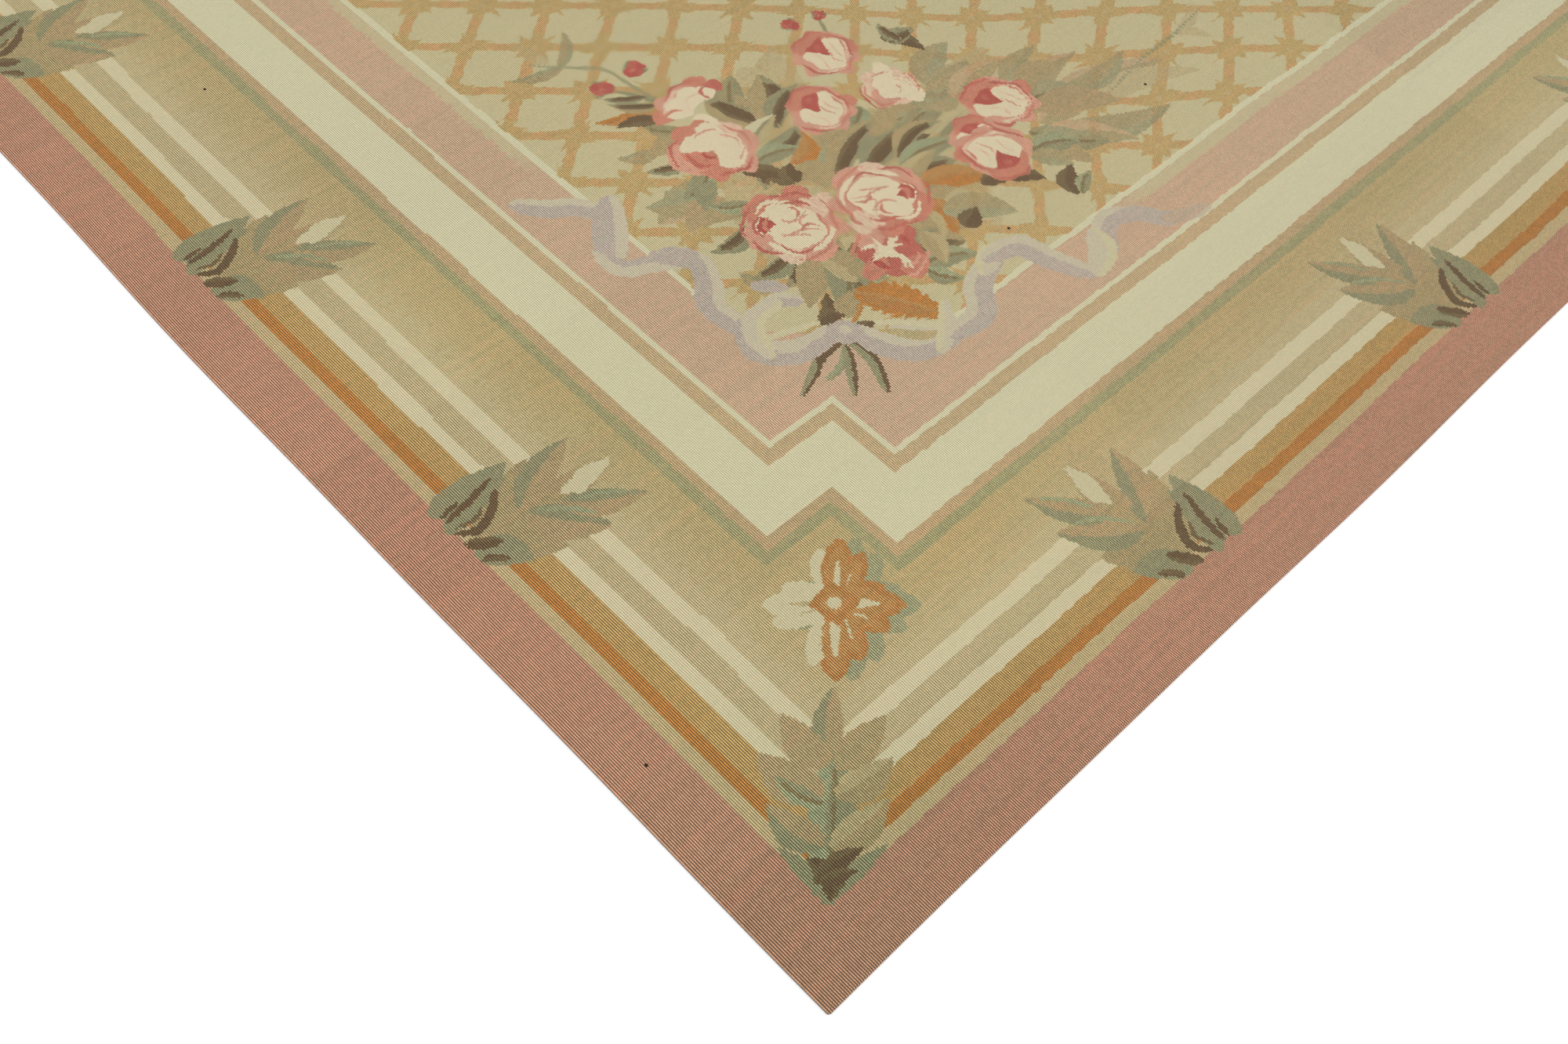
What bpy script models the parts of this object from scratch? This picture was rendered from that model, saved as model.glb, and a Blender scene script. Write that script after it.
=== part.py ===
"""A large flat-woven tapestry rug, modelled as the one piece of cloth that it is.

The rug lies flat. X runs along its long sides, Y along its short ones, which is the way its warps
run, and Z is up. The origin is on the floor, under the middle of the rug. Everything is in metres.
"""

import math

import bpy

LENGTH = 4.70
WIDTH = 3.66
THICKNESS = 0.003
CORNER_RADIUS = 0.004
CORNER_STEPS = 4
OUTLINE_STEP = 0.06

# How far the edges stray from a true rectangle, inwards where positive. Each wave is given by its
# reach, its length along the edge and how far along the edge its first crest is.
LONG_SIDE_BOW = -0.014
LONG_SIDE_WAVES = ((0.0026, 1.37, 0.16), (0.0010, 0.53, 0.10))
SHORT_SIDE_BOW = 0.017
SHORT_SIDE_WAVES = ((0.0020, 1.22, 0.40), (0.0009, 0.47, 0.33))
LONG_SIDE_BOW_POWER = 2
SHORT_SIDE_BOW_POWER = 4

WOOL_COLOUR = (0.50, 0.39, 0.24, 1.0)
WOOL_ROUGHNESS = 0.92


def clear_scene():
    for obj in list(bpy.data.objects):
        bpy.data.objects.remove(obj, do_unlink=True)


def new_collection(name):
    collection = bpy.data.collections.new(name)
    bpy.context.scene.collection.children.link(collection)
    return collection


def wool_material():
    material = bpy.data.materials.new("woven_wool")
    material.use_nodes = True
    shader = material.node_tree.nodes["Principled BSDF"]
    shader.inputs["Base Color"].default_value = WOOL_COLOUR
    shader.inputs["Roughness"].default_value = WOOL_ROUGHNESS
    shader.inputs["Metallic"].default_value = 0.0
    return material


def stray(along, side_length, bow, power, waves):
    """How far inwards an edge lies at a distance along it. The bow grows as a power of a half sine, and
    the waves fade out at both ends, so that the corners stay where they are."""
    share = math.sin(math.pi * along / side_length)
    ripple = sum(reach * math.cos(math.tau * (along - crest) / wave) for reach, wave, crest in waves)
    return bow * share**power + ripple * math.sqrt(max(share, 0.0))


def long_side(along):
    """The near long side, from its left end, as distances from the corner."""
    return stray(along, LENGTH, LONG_SIDE_BOW, LONG_SIDE_BOW_POWER, LONG_SIDE_WAVES)


def short_side(along):
    """The left short side, from its near end."""
    return stray(along, WIDTH, SHORT_SIDE_BOW, SHORT_SIDE_BOW_POWER, SHORT_SIDE_WAVES)


def stations(side_length):
    """Even distances along a side, from one rounded corner to the other, without its ends."""
    count = round(side_length / OUTLINE_STEP)
    reach = side_length - 2 * CORNER_RADIUS
    return [CORNER_RADIUS + reach * i / count for i in range(1, count)]


def corner(centre_x, centre_y, first_angle):
    """A quarter of a circle, turning anticlockwise."""
    angles = [first_angle + math.pi / 2 * i / CORNER_STEPS for i in range(CORNER_STEPS + 1)]
    return [
        (centre_x + CORNER_RADIUS * math.cos(angle), centre_y + CORNER_RADIUS * math.sin(angle))
        for angle in angles
    ]


def half_outline():
    """The near left corner, the near long side, the near right corner and the right short side. The
    other half is this one turned by half a turn, so the middle of the rug stays at the origin."""
    left, near = -LENGTH / 2, -WIDTH / 2
    points = corner(left + CORNER_RADIUS, near + CORNER_RADIUS, math.pi)
    points += [(left + along, near + long_side(along)) for along in stations(LENGTH)]
    points += corner(-left - CORNER_RADIUS, near + CORNER_RADIUS, 1.5 * math.pi)
    points += [(-left - short_side(WIDTH - along), near + along) for along in stations(WIDTH)]
    return points


def outline():
    half = half_outline()
    return half + [(-x, -y) for x, y in half]


def flat_sheet(name, points, thickness, material, collection):
    """A sheet that lies on the floor: a filled flat curve, extruded both ways by half its thickness."""
    curve = bpy.data.curves.new(name, "CURVE")
    curve.dimensions = "2D"
    curve.fill_mode = "BOTH"
    curve.extrude = thickness / 2
    curve.materials.append(material)
    spline = curve.splines.new("POLY")
    spline.points.add(len(points) - 1)
    for point, (x, y) in zip(spline.points, points):
        point.co = (x, y, 0.0, 1.0)
    spline.use_cyclic_u = True
    sheet = bpy.data.objects.new(name, curve)
    sheet.location = (0.0, 0.0, thickness / 2)
    collection.objects.link(sheet)
    return sheet


def main():
    clear_scene()
    collection = new_collection("tapestry_rug")
    flat_sheet("rug", outline(), THICKNESS, wool_material(), collection)


if __name__ == "__main__":
    main()
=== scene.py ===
"""An aubusson rug lying flat: a striped border with leaf clusters, and rose bouquets on a trellis field.

The cloth is woven the way its weaver works: a cartoon of ribs and picks says which yarn blend each
stitch takes, and stitches of one blend are grouped into rectangles of the mesh. Stripes, trellis
and the ribs themselves are worked out in the material.
"""

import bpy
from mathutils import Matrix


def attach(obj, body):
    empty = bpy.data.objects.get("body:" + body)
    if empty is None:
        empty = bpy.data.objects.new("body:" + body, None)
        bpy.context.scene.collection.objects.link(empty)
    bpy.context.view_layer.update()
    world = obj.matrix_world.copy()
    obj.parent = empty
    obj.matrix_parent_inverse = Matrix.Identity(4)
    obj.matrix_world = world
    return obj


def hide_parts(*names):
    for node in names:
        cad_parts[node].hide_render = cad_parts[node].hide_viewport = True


bl_info = {
    "name": "Aubusson Rug",
    "version": (1, 0, 0),
    "blender": (4, 5, 0),
    "location": "View3D > Sidebar > Rug",
    "description": "Weaves a flat aubusson rug with rose bouquets and sets its stage",
    "category": "Object",
}

import math
from collections import namedtuple

import bmesh
import bpy
import numpy as np
from mathutils import Euler, Vector

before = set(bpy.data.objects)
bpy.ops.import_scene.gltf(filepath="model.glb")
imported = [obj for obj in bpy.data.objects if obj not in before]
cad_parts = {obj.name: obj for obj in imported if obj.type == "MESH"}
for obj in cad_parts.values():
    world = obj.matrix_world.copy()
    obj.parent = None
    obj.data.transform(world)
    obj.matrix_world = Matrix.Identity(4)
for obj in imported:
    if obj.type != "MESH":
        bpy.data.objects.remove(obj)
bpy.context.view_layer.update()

# Cloth, the same values as the CAD outline
LENGTH = 4.70
WIDTH = 3.66
THICKNESS = 0.003
RIB_DEPTH = 0.0011
CORNER_RADIUS = 0.004
# Each wave is its reach, its length and where its crest lies along the side
LONG_SIDE_BOW = -0.014
LONG_SIDE_WAVES = ((0.0026, 1.37, 0.16), (0.0010, 0.53, 0.10))
LONG_SIDE_BOW_POWER = 2
SHORT_SIDE_BOW = 0.017
SHORT_SIDE_WAVES = ((0.0020, 1.22, 0.40), (0.0009, 0.47, 0.33))
SHORT_SIDE_BOW_POWER = 4
STRAY_FADE = 0.42
EDGE_HEIGHT = 0.0017
EDGE_ROUND = 0.0026
EDGE_TUCK = 0.0005
# The swell's height, and its waves: how fast each runs along the length and the width, and its start
SWELL = 0.0008
SWELL_WAVES = ((7.1, 2.3, 0.0), (-3.7, 5.3, 1.0))
SHARP_ANGLE = 50

# Loom: a half side's ribs run along Y, its picks along X
HALF_RIBS = 912
HALF_PICKS = 1440
RIB = LENGTH / 2 / HALF_RIBS
PICK = WIDTH / 2 / HALF_PICKS
# A border width, the design's unit, along the length and along the width
BORDER_U = 0.4136
BORDER_V = 0.400
FINE_TILE = (16, 40)
COARSE_STEP = 4
UNDER_TILE = (96, 240)
YARN_WOBBLE_U = 0.0014
YARN_WOBBLE_V = 0.0030
# The baked picture's rows: how far up the upper side reaches, where the underside starts and how tall
# it is, and the edge's top and bottom
UPPER_UV = 0.94
UNDER_UV = (0.945, 0.04)
WALL_UV = (0.998, 0.989)

# How far each kind of unevenness lightens and darkens a dark yarn, and how far the ribs' painted shade
# in their grooves and painted highlight on their crests reach; pale yarns vary less, down to a share
STREAK_TONE = 0.30
CLOUD_TONE = 0.12
LOT_TONE = 0.10
LOT_SIZE = (0.80, 0.21)
MOTTLE_TONE = 0.10
MOTTLE_SCALE = 70.0
STITCH_TONE = 0.22
RIB_PAINTED_SHADE = 1.90
HEIGHT_MEAN = 0.548
BEAD_RISE = 0.28
FUZZ_SCALE = 900.0
FUZZ_RISE = 0.12
PALE_SHARE = 0.30
DARK_YARN = 0.32
PALE_YARN = 0.50
# How far streaks and clouds are drawn out, what a streak multiplies the wool by, from the plainer to
# the redder, and the streaks that this turns at
STREAK_STRETCH = (1.5, 48.0)
CLOUD_STRETCH = 0.7
STREAK_TINTS = ((1.0, 1.0, 0.97), (1.04, 0.955, 0.93))
REDDER_STREAKS = (0.50, 0.64)
# Towards the corners the colour turns darker and browner, from one sum of both distances from the rug's
# middle to another
BROWN_CORNER = (3.60, 4.10)
BROWN_TINT = (0.85, 0.92, 0.89)
# The fleck yarn's share varies from stitch to stitch: the least, and how much more, as parts of it
FLECK_LEAST = 0.4
FLECK_RANGE = 1.2
# Flecks and frayed edges are this many picks long
HATCH_PICKS = 3
# Kinds of chance, each with a number of its own
CHANCES = {
    "lean": 0.0, "step": 1.0, "fray": 3.0, "bar": 5.0, "fleck": 6.0, "own": 7.0, "speck": 8.0,
    "spark": 9.0, "lot": 12.0,
}
# Dark specks of lint: the size of the squares that may hold one, how many do, and a speck's radius
SPECK_SQUARE = 0.06
SPECK_SHARE = 0.012
SPECK_RADIUS = 0.0022
SPECK_COLOUR = (0.035, 0.018, 0.008)

# Camera and stage
CAMERA_PLACE = (-2.79582, -2.04057, 1.43537)
CAMERA_TURN = (34.7478, -5.1189, -44.7046)
CAMERA_LENS = 37.224
SENSOR_WIDTH = 36.0
FLOOR_SIZE = 30.0
FLOOR_DROP = 0.0006
LAMP_PLACE = (-3.6, -1.6, 8.0)
LAMP_TARGET = (-0.9, -0.8, 0.0)
LAMP_SIZE = 5.0

# Yarns of the motifs, as seen on the cloth in sRGB
YARNS = {
    "crimson": (168, 76, 66), "madder": (185, 111, 92), "rose": (195, 132, 107), "pink": (203, 155, 131),
    "ivory": (221, 205, 172), "bark": (104, 82, 57), "moss": (118, 102, 70), "olive": (134, 120, 82),
    "leaf": (150, 138, 99), "sage": (140, 140, 108), "mint": (157, 160, 122), "khaki": (170, 151, 109),
    "dusk": (167, 145, 108), "straw": (183, 168, 124), "cream": (203, 194, 156), "rust": (168, 114, 59),
    "amber": (179, 141, 87), "orange": (188, 130, 62), "lilac": (172, 159, 147),
    "pale_lilac": (191, 180, 158), "shadow": (148, 144, 110),
}

# A blend: its main yarn, the yarn flecked into it, the fleck's share, how fully it covers the ground
Blend = namedtuple("Blend", "name yarn fleck share cover", defaults=(1.0,))
BLENDS = (
    Blend("crimson", "crimson", "madder", 0.25), Blend("madder", "madder", "crimson", 0.25),
    Blend("rose", "rose", "madder", 0.25), Blend("pink", "pink", "rose", 0.25),
    Blend("blush", "ivory", "pink", 0.50), Blend("ivory", "ivory", "cream", 0.25),
    Blend("bark", "bark", "moss", 0.20), Blend("moss", "moss", "bark", 0.15),
    Blend("olive", "olive", "moss", 0.25), Blend("leaf", "leaf", "sage", 0.40),
    Blend("sage", "sage", "leaf", 0.30), Blend("mint", "mint", "sage", 0.35),
    Blend("khaki", "khaki", "leaf", 0.25), Blend("dusk", "dusk", "khaki", 0.40),
    Blend("straw", "straw", "khaki", 0.35), Blend("cream", "cream", "straw", 0.15),
    Blend("rust", "rust", "amber", 0.30), Blend("amber", "amber", "rust", 0.35),
    Blend("orange", "orange", "rust", 0.45), Blend("lilac", "lilac", "pale_lilac", 0.30),
    Blend("pale_lilac", "pale_lilac", "cream", 0.35), Blend("shadow", "shadow", "mint", 0.35),
    Blend("faded_leaf", "leaf", "khaki", 0.40, 0.85), Blend("faded_sage", "sage", "leaf", 0.30, 0.75),
    Blend("faded_khaki", "khaki", "pink", 0.30, 0.75), Blend("faded_tan", "khaki", "straw", 0.40, 0.55),
    Blend("veil", "straw", "khaki", 0.50, 0.78), Blend("faded_lilac", "lilac", "straw", 0.30, 0.60),
)
GROUND = 0
BLEND_NUMBER = {blend.name: number + 1 for number, blend in enumerate(BLENDS)}

# A leaf's colours: lit half, shaded half, midrib, and the dark wedge inside its shaded half
LeafTone = namedtuple("LeafTone", "lit shade midrib wedge", defaults=(None, None))
LEAF_TONES = {
    "green": LeafTone("mint", "sage", "olive"), "grey": LeafTone("sage", "sage"),
    "deep": LeafTone("sage", "leaf", "moss", "bark"), "brown": LeafTone("khaki", "leaf", "moss", "bark"),
    "dark": LeafTone("moss", "bark", None, "bark"), "olive": LeafTone("khaki", "olive", "moss", "moss"),
    "khaki": LeafTone("khaki", "khaki"), "dusk": LeafTone("dusk", "dusk"),
    "edged": LeafTone("sage", "dusk", "dusk"), "leafy": LeafTone("faded_sage", "leaf", "olive"),
    "straw": LeafTone("straw", "khaki"), "cream": LeafTone("cream", "cream"),
    "pale": LeafTone("cream", "straw", "leaf"), "rust": LeafTone("amber", "orange", "rust"),
    "oak": LeafTone("orange", "orange", "amber", "rust"),
    "faded": LeafTone("faded_leaf", "faded_sage", "faded_leaf"),
    "haze": LeafTone("faded_khaki", "faded_leaf", "faded_leaf"), "veil": LeafTone("veil", "faded_tan"),
    "ghost": LeafTone("faded_tan", "faded_tan"),
}

# A rose's arcs from the back to the front: the circle's middle towards where the rose opens and across
# it, its radius and the arc's width as shares of the rose's radius, its ends in degrees from the
# opening, and its blend. An arc as wide as its circle is a disc or a sector, a petal
Arc = namedtuple("Arc", "along across radius width start end blend")


def petal(along, across, radius, blend):
    """A whole disc."""
    return Arc(along, across, radius, 2 * radius, 0, 360, blend)


CUP_ROSE = (
    petal(0.0, 0.0, 0.43, "pink"), petal(0.5, 0.22, 0.18, "rose"), petal(0.5, -0.24, 0.19, "rose"),
    petal(-0.28, 0.66, 0.15, "pink"), petal(-0.32, -0.66, 0.15, "rose"), petal(-0.72, 0.1, 0.14, "pink"),
    petal(-0.62, -0.36, 0.14, "pink"), petal(0.14, 0.72, 0.11, "pink"),
    Arc(0.04, 0.0, 0.8, 0.09, -46, 34, "madder"), Arc(0.0, 0.0, 0.82, 0.09, 90, 150, "madder"),
    Arc(0.03, 0.0, 0.84, 0.09, 160, 210, "rose"), Arc(-0.05, 0.05, 0.78, 0.09, 222, 316, "madder"),
    Arc(-0.06, 0.0, 0.69, 0.08, 110, 170, "blush"), Arc(-0.06, 0.0, 0.66, 0.08, 196, 290, "blush"),
    petal(-0.13, 0.0, 0.275, "ivory"), petal(0.1, 0.34, 0.14, "ivory"), petal(0.08, -0.34, 0.14, "ivory"),
    Arc(-0.14, 0.0, 0.33, 0.66, -34, 32, "crimson"), Arc(0.02, 0.0, 0.3, 0.2, -22, 20, "madder"),
    Arc(-0.2, 0.9, 0.66, 0.06, 236, 300, "blush"), Arc(-0.2, -0.9, 0.62, 0.06, 60, 122, "blush"),
    Arc(-0.3, -0.78, 0.7, 0.05, 66, 112, "pink"),
)
FULL_ROSE = (
    petal(-0.04, 0.0, 0.42, "pink"), petal(0.44, 0.42, 0.19, "rose"), petal(0.52, -0.36, 0.19, "pink"),
    petal(0.0, 0.72, 0.16, "pink"), petal(-0.02, -0.72, 0.15, "rose"), petal(-0.56, 0.5, 0.16, "pink"),
    petal(-0.6, -0.42, 0.16, "ivory"), petal(-0.74, 0.06, 0.13, "blush"),
    Arc(0.0, 0.0, 0.84, 0.09, 40, 106, "madder"), Arc(0.0, 0.04, 0.82, 0.07, 124, 190, "rose"),
    Arc(0.0, 0.0, 0.82, 0.11, 206, 262, "rose"), Arc(0.06, 0.0, 0.82, 0.08, 276, 334, "madder"),
    Arc(0.0, 0.0, 0.68, 0.09, 64, 130, "ivory"), petal(-0.1, 0.0, 0.29, "ivory"),
    petal(0.14, 0.38, 0.14, "ivory"), petal(0.1, -0.4, 0.15, "ivory"), petal(-0.44, -0.3, 0.14, "ivory"),
    Arc(-0.06, 0.0, 0.33, 0.66, -44, 40, "rose"), Arc(-0.06, 0.0, 0.24, 0.1, -44, 40, "crimson"),
    Arc(-0.02, 0.0, 0.52, 0.12, -40, 36, "madder"), Arc(-0.06, 0.0, 0.68, 0.06, -30, 30, "pink"),
    Arc(-0.1, 0.04, 0.46, 0.05, 110, 196, "blush"), Arc(-0.2, -0.1, 0.4, 0.06, 190, 286, "pink"),
    Arc(-0.3, 0.1, 0.3, 0.05, 120, 220, "pink"),
)
PALE_ROSE = (
    petal(-0.05, 0.0, 0.4, "blush"), petal(0.46, 0.1, 0.18, "pink"), petal(-0.1, 0.66, 0.15, "ivory"),
    petal(-0.5, -0.46, 0.16, "ivory"), petal(0.0, -0.66, 0.15, "blush"),
    Arc(0.05, 0.0, 0.8, 0.09, -60, 10, "madder"), Arc(0.05, 0.0, 0.64, 0.1, -66, 50, "rose"),
    petal(0.3, 0.0, 0.16, "pink"), petal(-0.1, 0.1, 0.24, "ivory"), petal(-0.16, -0.24, 0.2, "ivory"),
    Arc(-0.1, 0.1, 0.4, 0.06, 110, 230, "blush"), Arc(-0.1, -0.1, 0.52, 0.06, 200, 290, "pink"),
    Arc(0.0, 0.0, 0.26, 0.05, 60, 190, "pink"), Arc(-0.1, 0.0, 0.72, 0.07, 100, 170, "rose"),
)
BIG_ROSE = (
    petal(-0.02, 0.0, 0.42, "pink"), petal(0.6, 0.22, 0.18, "pink"), petal(0.48, -0.46, 0.17, "rose"),
    petal(0.2, 0.7, 0.15, "blush"), petal(-0.34, 0.64, 0.17, "pink"), petal(-0.74, 0.2, 0.14, "pink"),
    petal(-0.64, -0.36, 0.15, "blush"), petal(-0.16, -0.72, 0.15, "rose"),
    Arc(0.12, 0.0, 0.78, 0.07, -46, 8, "madder"), Arc(0.06, 0.0, 0.84, 0.07, 14, 70, "madder"),
    Arc(0.0, 0.02, 0.84, 0.07, 84, 140, "rose"), Arc(-0.02, 0.0, 0.82, 0.08, 150, 216, "rose"),
    Arc(0.0, 0.0, 0.82, 0.07, 228, 300, "madder"), Arc(0.0, 0.04, 0.7, 0.1, 30, 84, "ivory"),
    Arc(-0.04, 0.04, 0.68, 0.12, 100, 170, "ivory"), Arc(-0.04, 0.0, 0.68, 0.12, 186, 250, "blush"),
    Arc(0.02, 0.0, 0.66, 0.1, 262, 330, "ivory"), Arc(0.0, 0.1, 0.58, 0.06, 40, 120, "madder"),
    Arc(-0.04, 0.04, 0.58, 0.06, 130, 206, "rose"), Arc(-0.06, -0.04, 0.56, 0.07, 216, 290, "madder"),
    petal(-0.1, 0.08, 0.25, "ivory"), petal(0.22, 0.28, 0.14, "ivory"), petal(0.06, -0.26, 0.17, "ivory"),
    petal(0.4, -0.04, 0.14, "ivory"), Arc(0.22, 0.0, 0.19, 0.38, -40, 34, "crimson"),
    Arc(0.2, 0.02, 0.26, 0.1, -50, 44, "rose"), Arc(0.16, 0.02, 0.5, 0.06, -40, 30, "madder"),
    Arc(0.1, 0.74, 0.52, 0.05, 226, 296, "pink"), Arc(-0.14, 0.8, 0.66, 0.05, 240, 310, "pink"),
    Arc(-0.1, -0.6, 0.48, 0.06, 56, 130, "pink"), Arc(-0.66, 0.0, 0.44, 0.05, -46, 30, "pink"),
    Arc(-0.34, 0.3, 0.26, 0.06, 220, 330, "rose"), Arc(0.0, -0.3, 0.2, 0.06, 130, 260, "rose"),
)
STREAKED_ROSE = (
    petal(-0.04, 0.0, 0.39, "madder"), petal(0.5, 0.36, 0.18, "pink"), petal(0.46, -0.42, 0.18, "madder"),
    petal(-0.48, 0.5, 0.17, "rose"), petal(-0.54, -0.44, 0.18, "rose"),
    Arc(-0.02, 0.0, 0.62, 0.1, 16, 76, "pink"), Arc(0.0, 0.0, 0.6, 0.14, 106, 166, "crimson"),
    Arc(0.0, 0.0, 0.6, 0.12, 196, 256, "pink"), Arc(0.0, 0.0, 0.6, 0.14, 286, 340, "crimson"),
    Arc(0.0, 0.0, 0.84, 0.1, 30, 100, "rose"), Arc(0.0, 0.0, 0.84, 0.1, 190, 262, "pink"),
    Arc(1.0, 0.96, 1.34, 0.15, 196, 254, "ivory"), Arc(-1.1, 0.86, 1.36, 0.15, 292, 350, "ivory"),
    Arc(0.1, -1.34, 1.26, 0.13, 62, 122, "ivory"), Arc(0.56, -0.1, 0.44, 0.11, 110, 224, "ivory"),
    Arc(-0.5, 0.1, 0.36, 0.1, -60, 50, "ivory"), Arc(0.1, 0.5, 0.26, 0.09, 180, 330, "blush"),
)
TOP_ROSE = (
    petal(0.3, 0.5, 0.18, "pink"), petal(0.2, -0.56, 0.18, "rose"), petal(0.06, 0.92, 0.14, "rose"),
    petal(-0.1, -0.92, 0.12, "madder"), petal(0.2, 0.0, 0.2, "pink"),
    Arc(-0.5, 0.0, 1.06, 0.1, -40, 44, "madder"), Arc(-0.4, 0.2, 0.84, 0.12, -20, 54, "blush"),
    petal(0.0, 0.4, 0.19, "ivory"), petal(0.0, -0.1, 0.19, "ivory"), petal(-0.16, -0.5, 0.14, "ivory"),
    Arc(-0.3, 0.7, 0.4, 0.1, -60, 40, "rose"), Arc(-0.6, -0.2, 0.6, 0.07, -40, 50, "blush"),
    Arc(-0.3, -0.72, 0.3, 0.1, 0, 110, "madder"),
)

# A rose's ruffle: how far its two sines reach, and how fast they run and the second one is turned
RUFFLE_REACH = (0.050, 0.028)
RUFFLE_ALONG = (4.7, 11.3, 2)
RUFFLE_ACROSS = (5.3, 10.1, 3)

# The bouquet, in border widths from the rug's corner along its length and its width
Rose = namedtuple("Rose", "place radius turn arcs")
ROSES = (
    Rose((1.75, 2.42), 0.125, 100, TOP_ROSE),
    Rose((1.655, 2.20), 0.150, 200, FULL_ROSE),
    Rose((2.255, 2.305), 0.125, 95, CUP_ROSE),
    Rose((2.30, 2.04), 0.120, 200, PALE_ROSE),
    Rose((2.05, 2.12), 0.125, 100, CUP_ROSE),
    Rose((2.53, 1.765), 0.140, 110, CUP_ROSE),
    Rose((1.62, 1.80), 0.165, 150, BIG_ROSE),
    Rose((1.77, 1.525), 0.130, 60, STREAKED_ROSE),
    Rose((1.915, 1.70), 0.165, 345, BIG_ROSE),
    Rose((2.355, 1.70), 0.105, 80, CUP_ROSE),
    Rose((2.345, 1.60), 0.135, 262, CUP_ROSE),
)
Bud = namedtuple("Bud", "place radius turn")
BUD_ARCS = (
    petal(0.3, 0.1, 0.3, "madder"), petal(-0.1, -0.1, 0.34, "madder"), petal(-0.4, 0.0, 0.26, "crimson"),
    Arc(0.1, 0.9, 0.92, 0.22, 236, 310, "rose"), petal(0.5, -0.2, 0.2, "crimson"),
)
# A sepal's base behind the bud, its tip ahead and to the side, and its width, in the bud's radii
SEPAL_BASE = 0.9
SEPAL_TIP = (0.7, 0.9)
SEPAL_WIDTH = 0.7
BUDS = (
    Bud((1.575, 2.635), 0.044, 150),
    Bud((1.715, 2.645), 0.046, 15),
    Bud((2.265, 2.48), 0.036, 110),
    Bud((2.375, 2.455), 0.030, 40),
)

# Inside a leaf: how deep an oak leaf's notches are and how many it has, where its shaded half begins,
# the wedge's ends across and along it, and the midrib's half width, its share of the leaf's and its end
TOOTH_DEPTH = 0.28
OAK_TEETH = 9
SHADE_START = 0.15
WEDGE_ACROSS = (-0.75, -0.05)
WEDGE_ALONG = (0.10, 0.78)
MIDRIB_HALF = 0.004
MIDRIB_SHARE = 0.06
MIDRIB_END = 0.82

# Leaves behind the roses: their width in border widths, their bend as a share of their length
Leaf = namedtuple("Leaf", "base tip width bend tone")


def leaves(*rows):
    """Leaves from rows of a base's two places, a tip's two, a width, a bend and a tone."""
    return [Leaf(row[:2], row[2:4], *row[4:]) for row in rows]


FADED_SPRAY = leaves(
    (1.52, 1.52, 2.14, 2.44, 0.44, 0.04, "veil"), (1.5, 1.56, 1.9, 2.44, 0.36, -0.04, "veil"),
    (1.7, 1.5, 2.6, 1.8, 0.36, 0.04, "ghost"), (1.9, 1.5, 2.7, 1.98, 0.4, 0.04, "veil"),
    (1.55, 2.8, 1.37, 2.85, 0.05, 0.1, "faded"), (1.53, 2.8, 1.66, 2.94, 0.045, -0.1, "faded"),
    (1.52, 2.84, 1.5, 2.98, 0.06, 0.05, "ghost"), (2.6, 1.8, 2.84, 1.87, 0.08, 0.1, "faded"),
    (2.55, 1.66, 2.93, 1.76, 0.11, 0.12, "haze"), (2.56, 1.6, 3.14, 1.54, 0.16, 0.08, "haze"),
    (2.54, 1.58, 2.98, 1.38, 0.13, -0.12, "faded"), (2.46, 1.56, 2.76, 1.34, 0.12, 0.12, "haze"),
    (2.7, 1.56, 3.2, 1.42, 0.11, 0.1, "ghost"), (2.74, 1.66, 3.06, 1.66, 0.09, -0.12, "faded"),
    (2.4, 1.98, 2.62, 2.08, 0.12, 0.1, "faded"), (2.36, 1.9, 2.6, 1.97, 0.13, 0.0, "faded"),
    (2.42, 1.86, 2.7, 1.9, 0.11, 0.08, "haze"), (2.2, 1.92, 2.44, 1.92, 0.13, -0.08, "leafy"),
    (3.28, 1.6, 3.37, 1.5, 0.05, 0.15, "ghost"), (3.3, 1.6, 3.46, 1.66, 0.05, -0.1, "ghost"),
    (2.14, 1.62, 2.1, 1.36, 0.14, 0.0, "ghost"), (1.54, 2.1, 1.31, 2.06, 0.14, 0.0, "haze"),
    (1.5, 1.98, 1.42, 2.16, 0.12, 0.1, "faded"), (2.0, 2.42, 1.92, 2.3, 0.11, 0.1, "ghost"),
)
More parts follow.
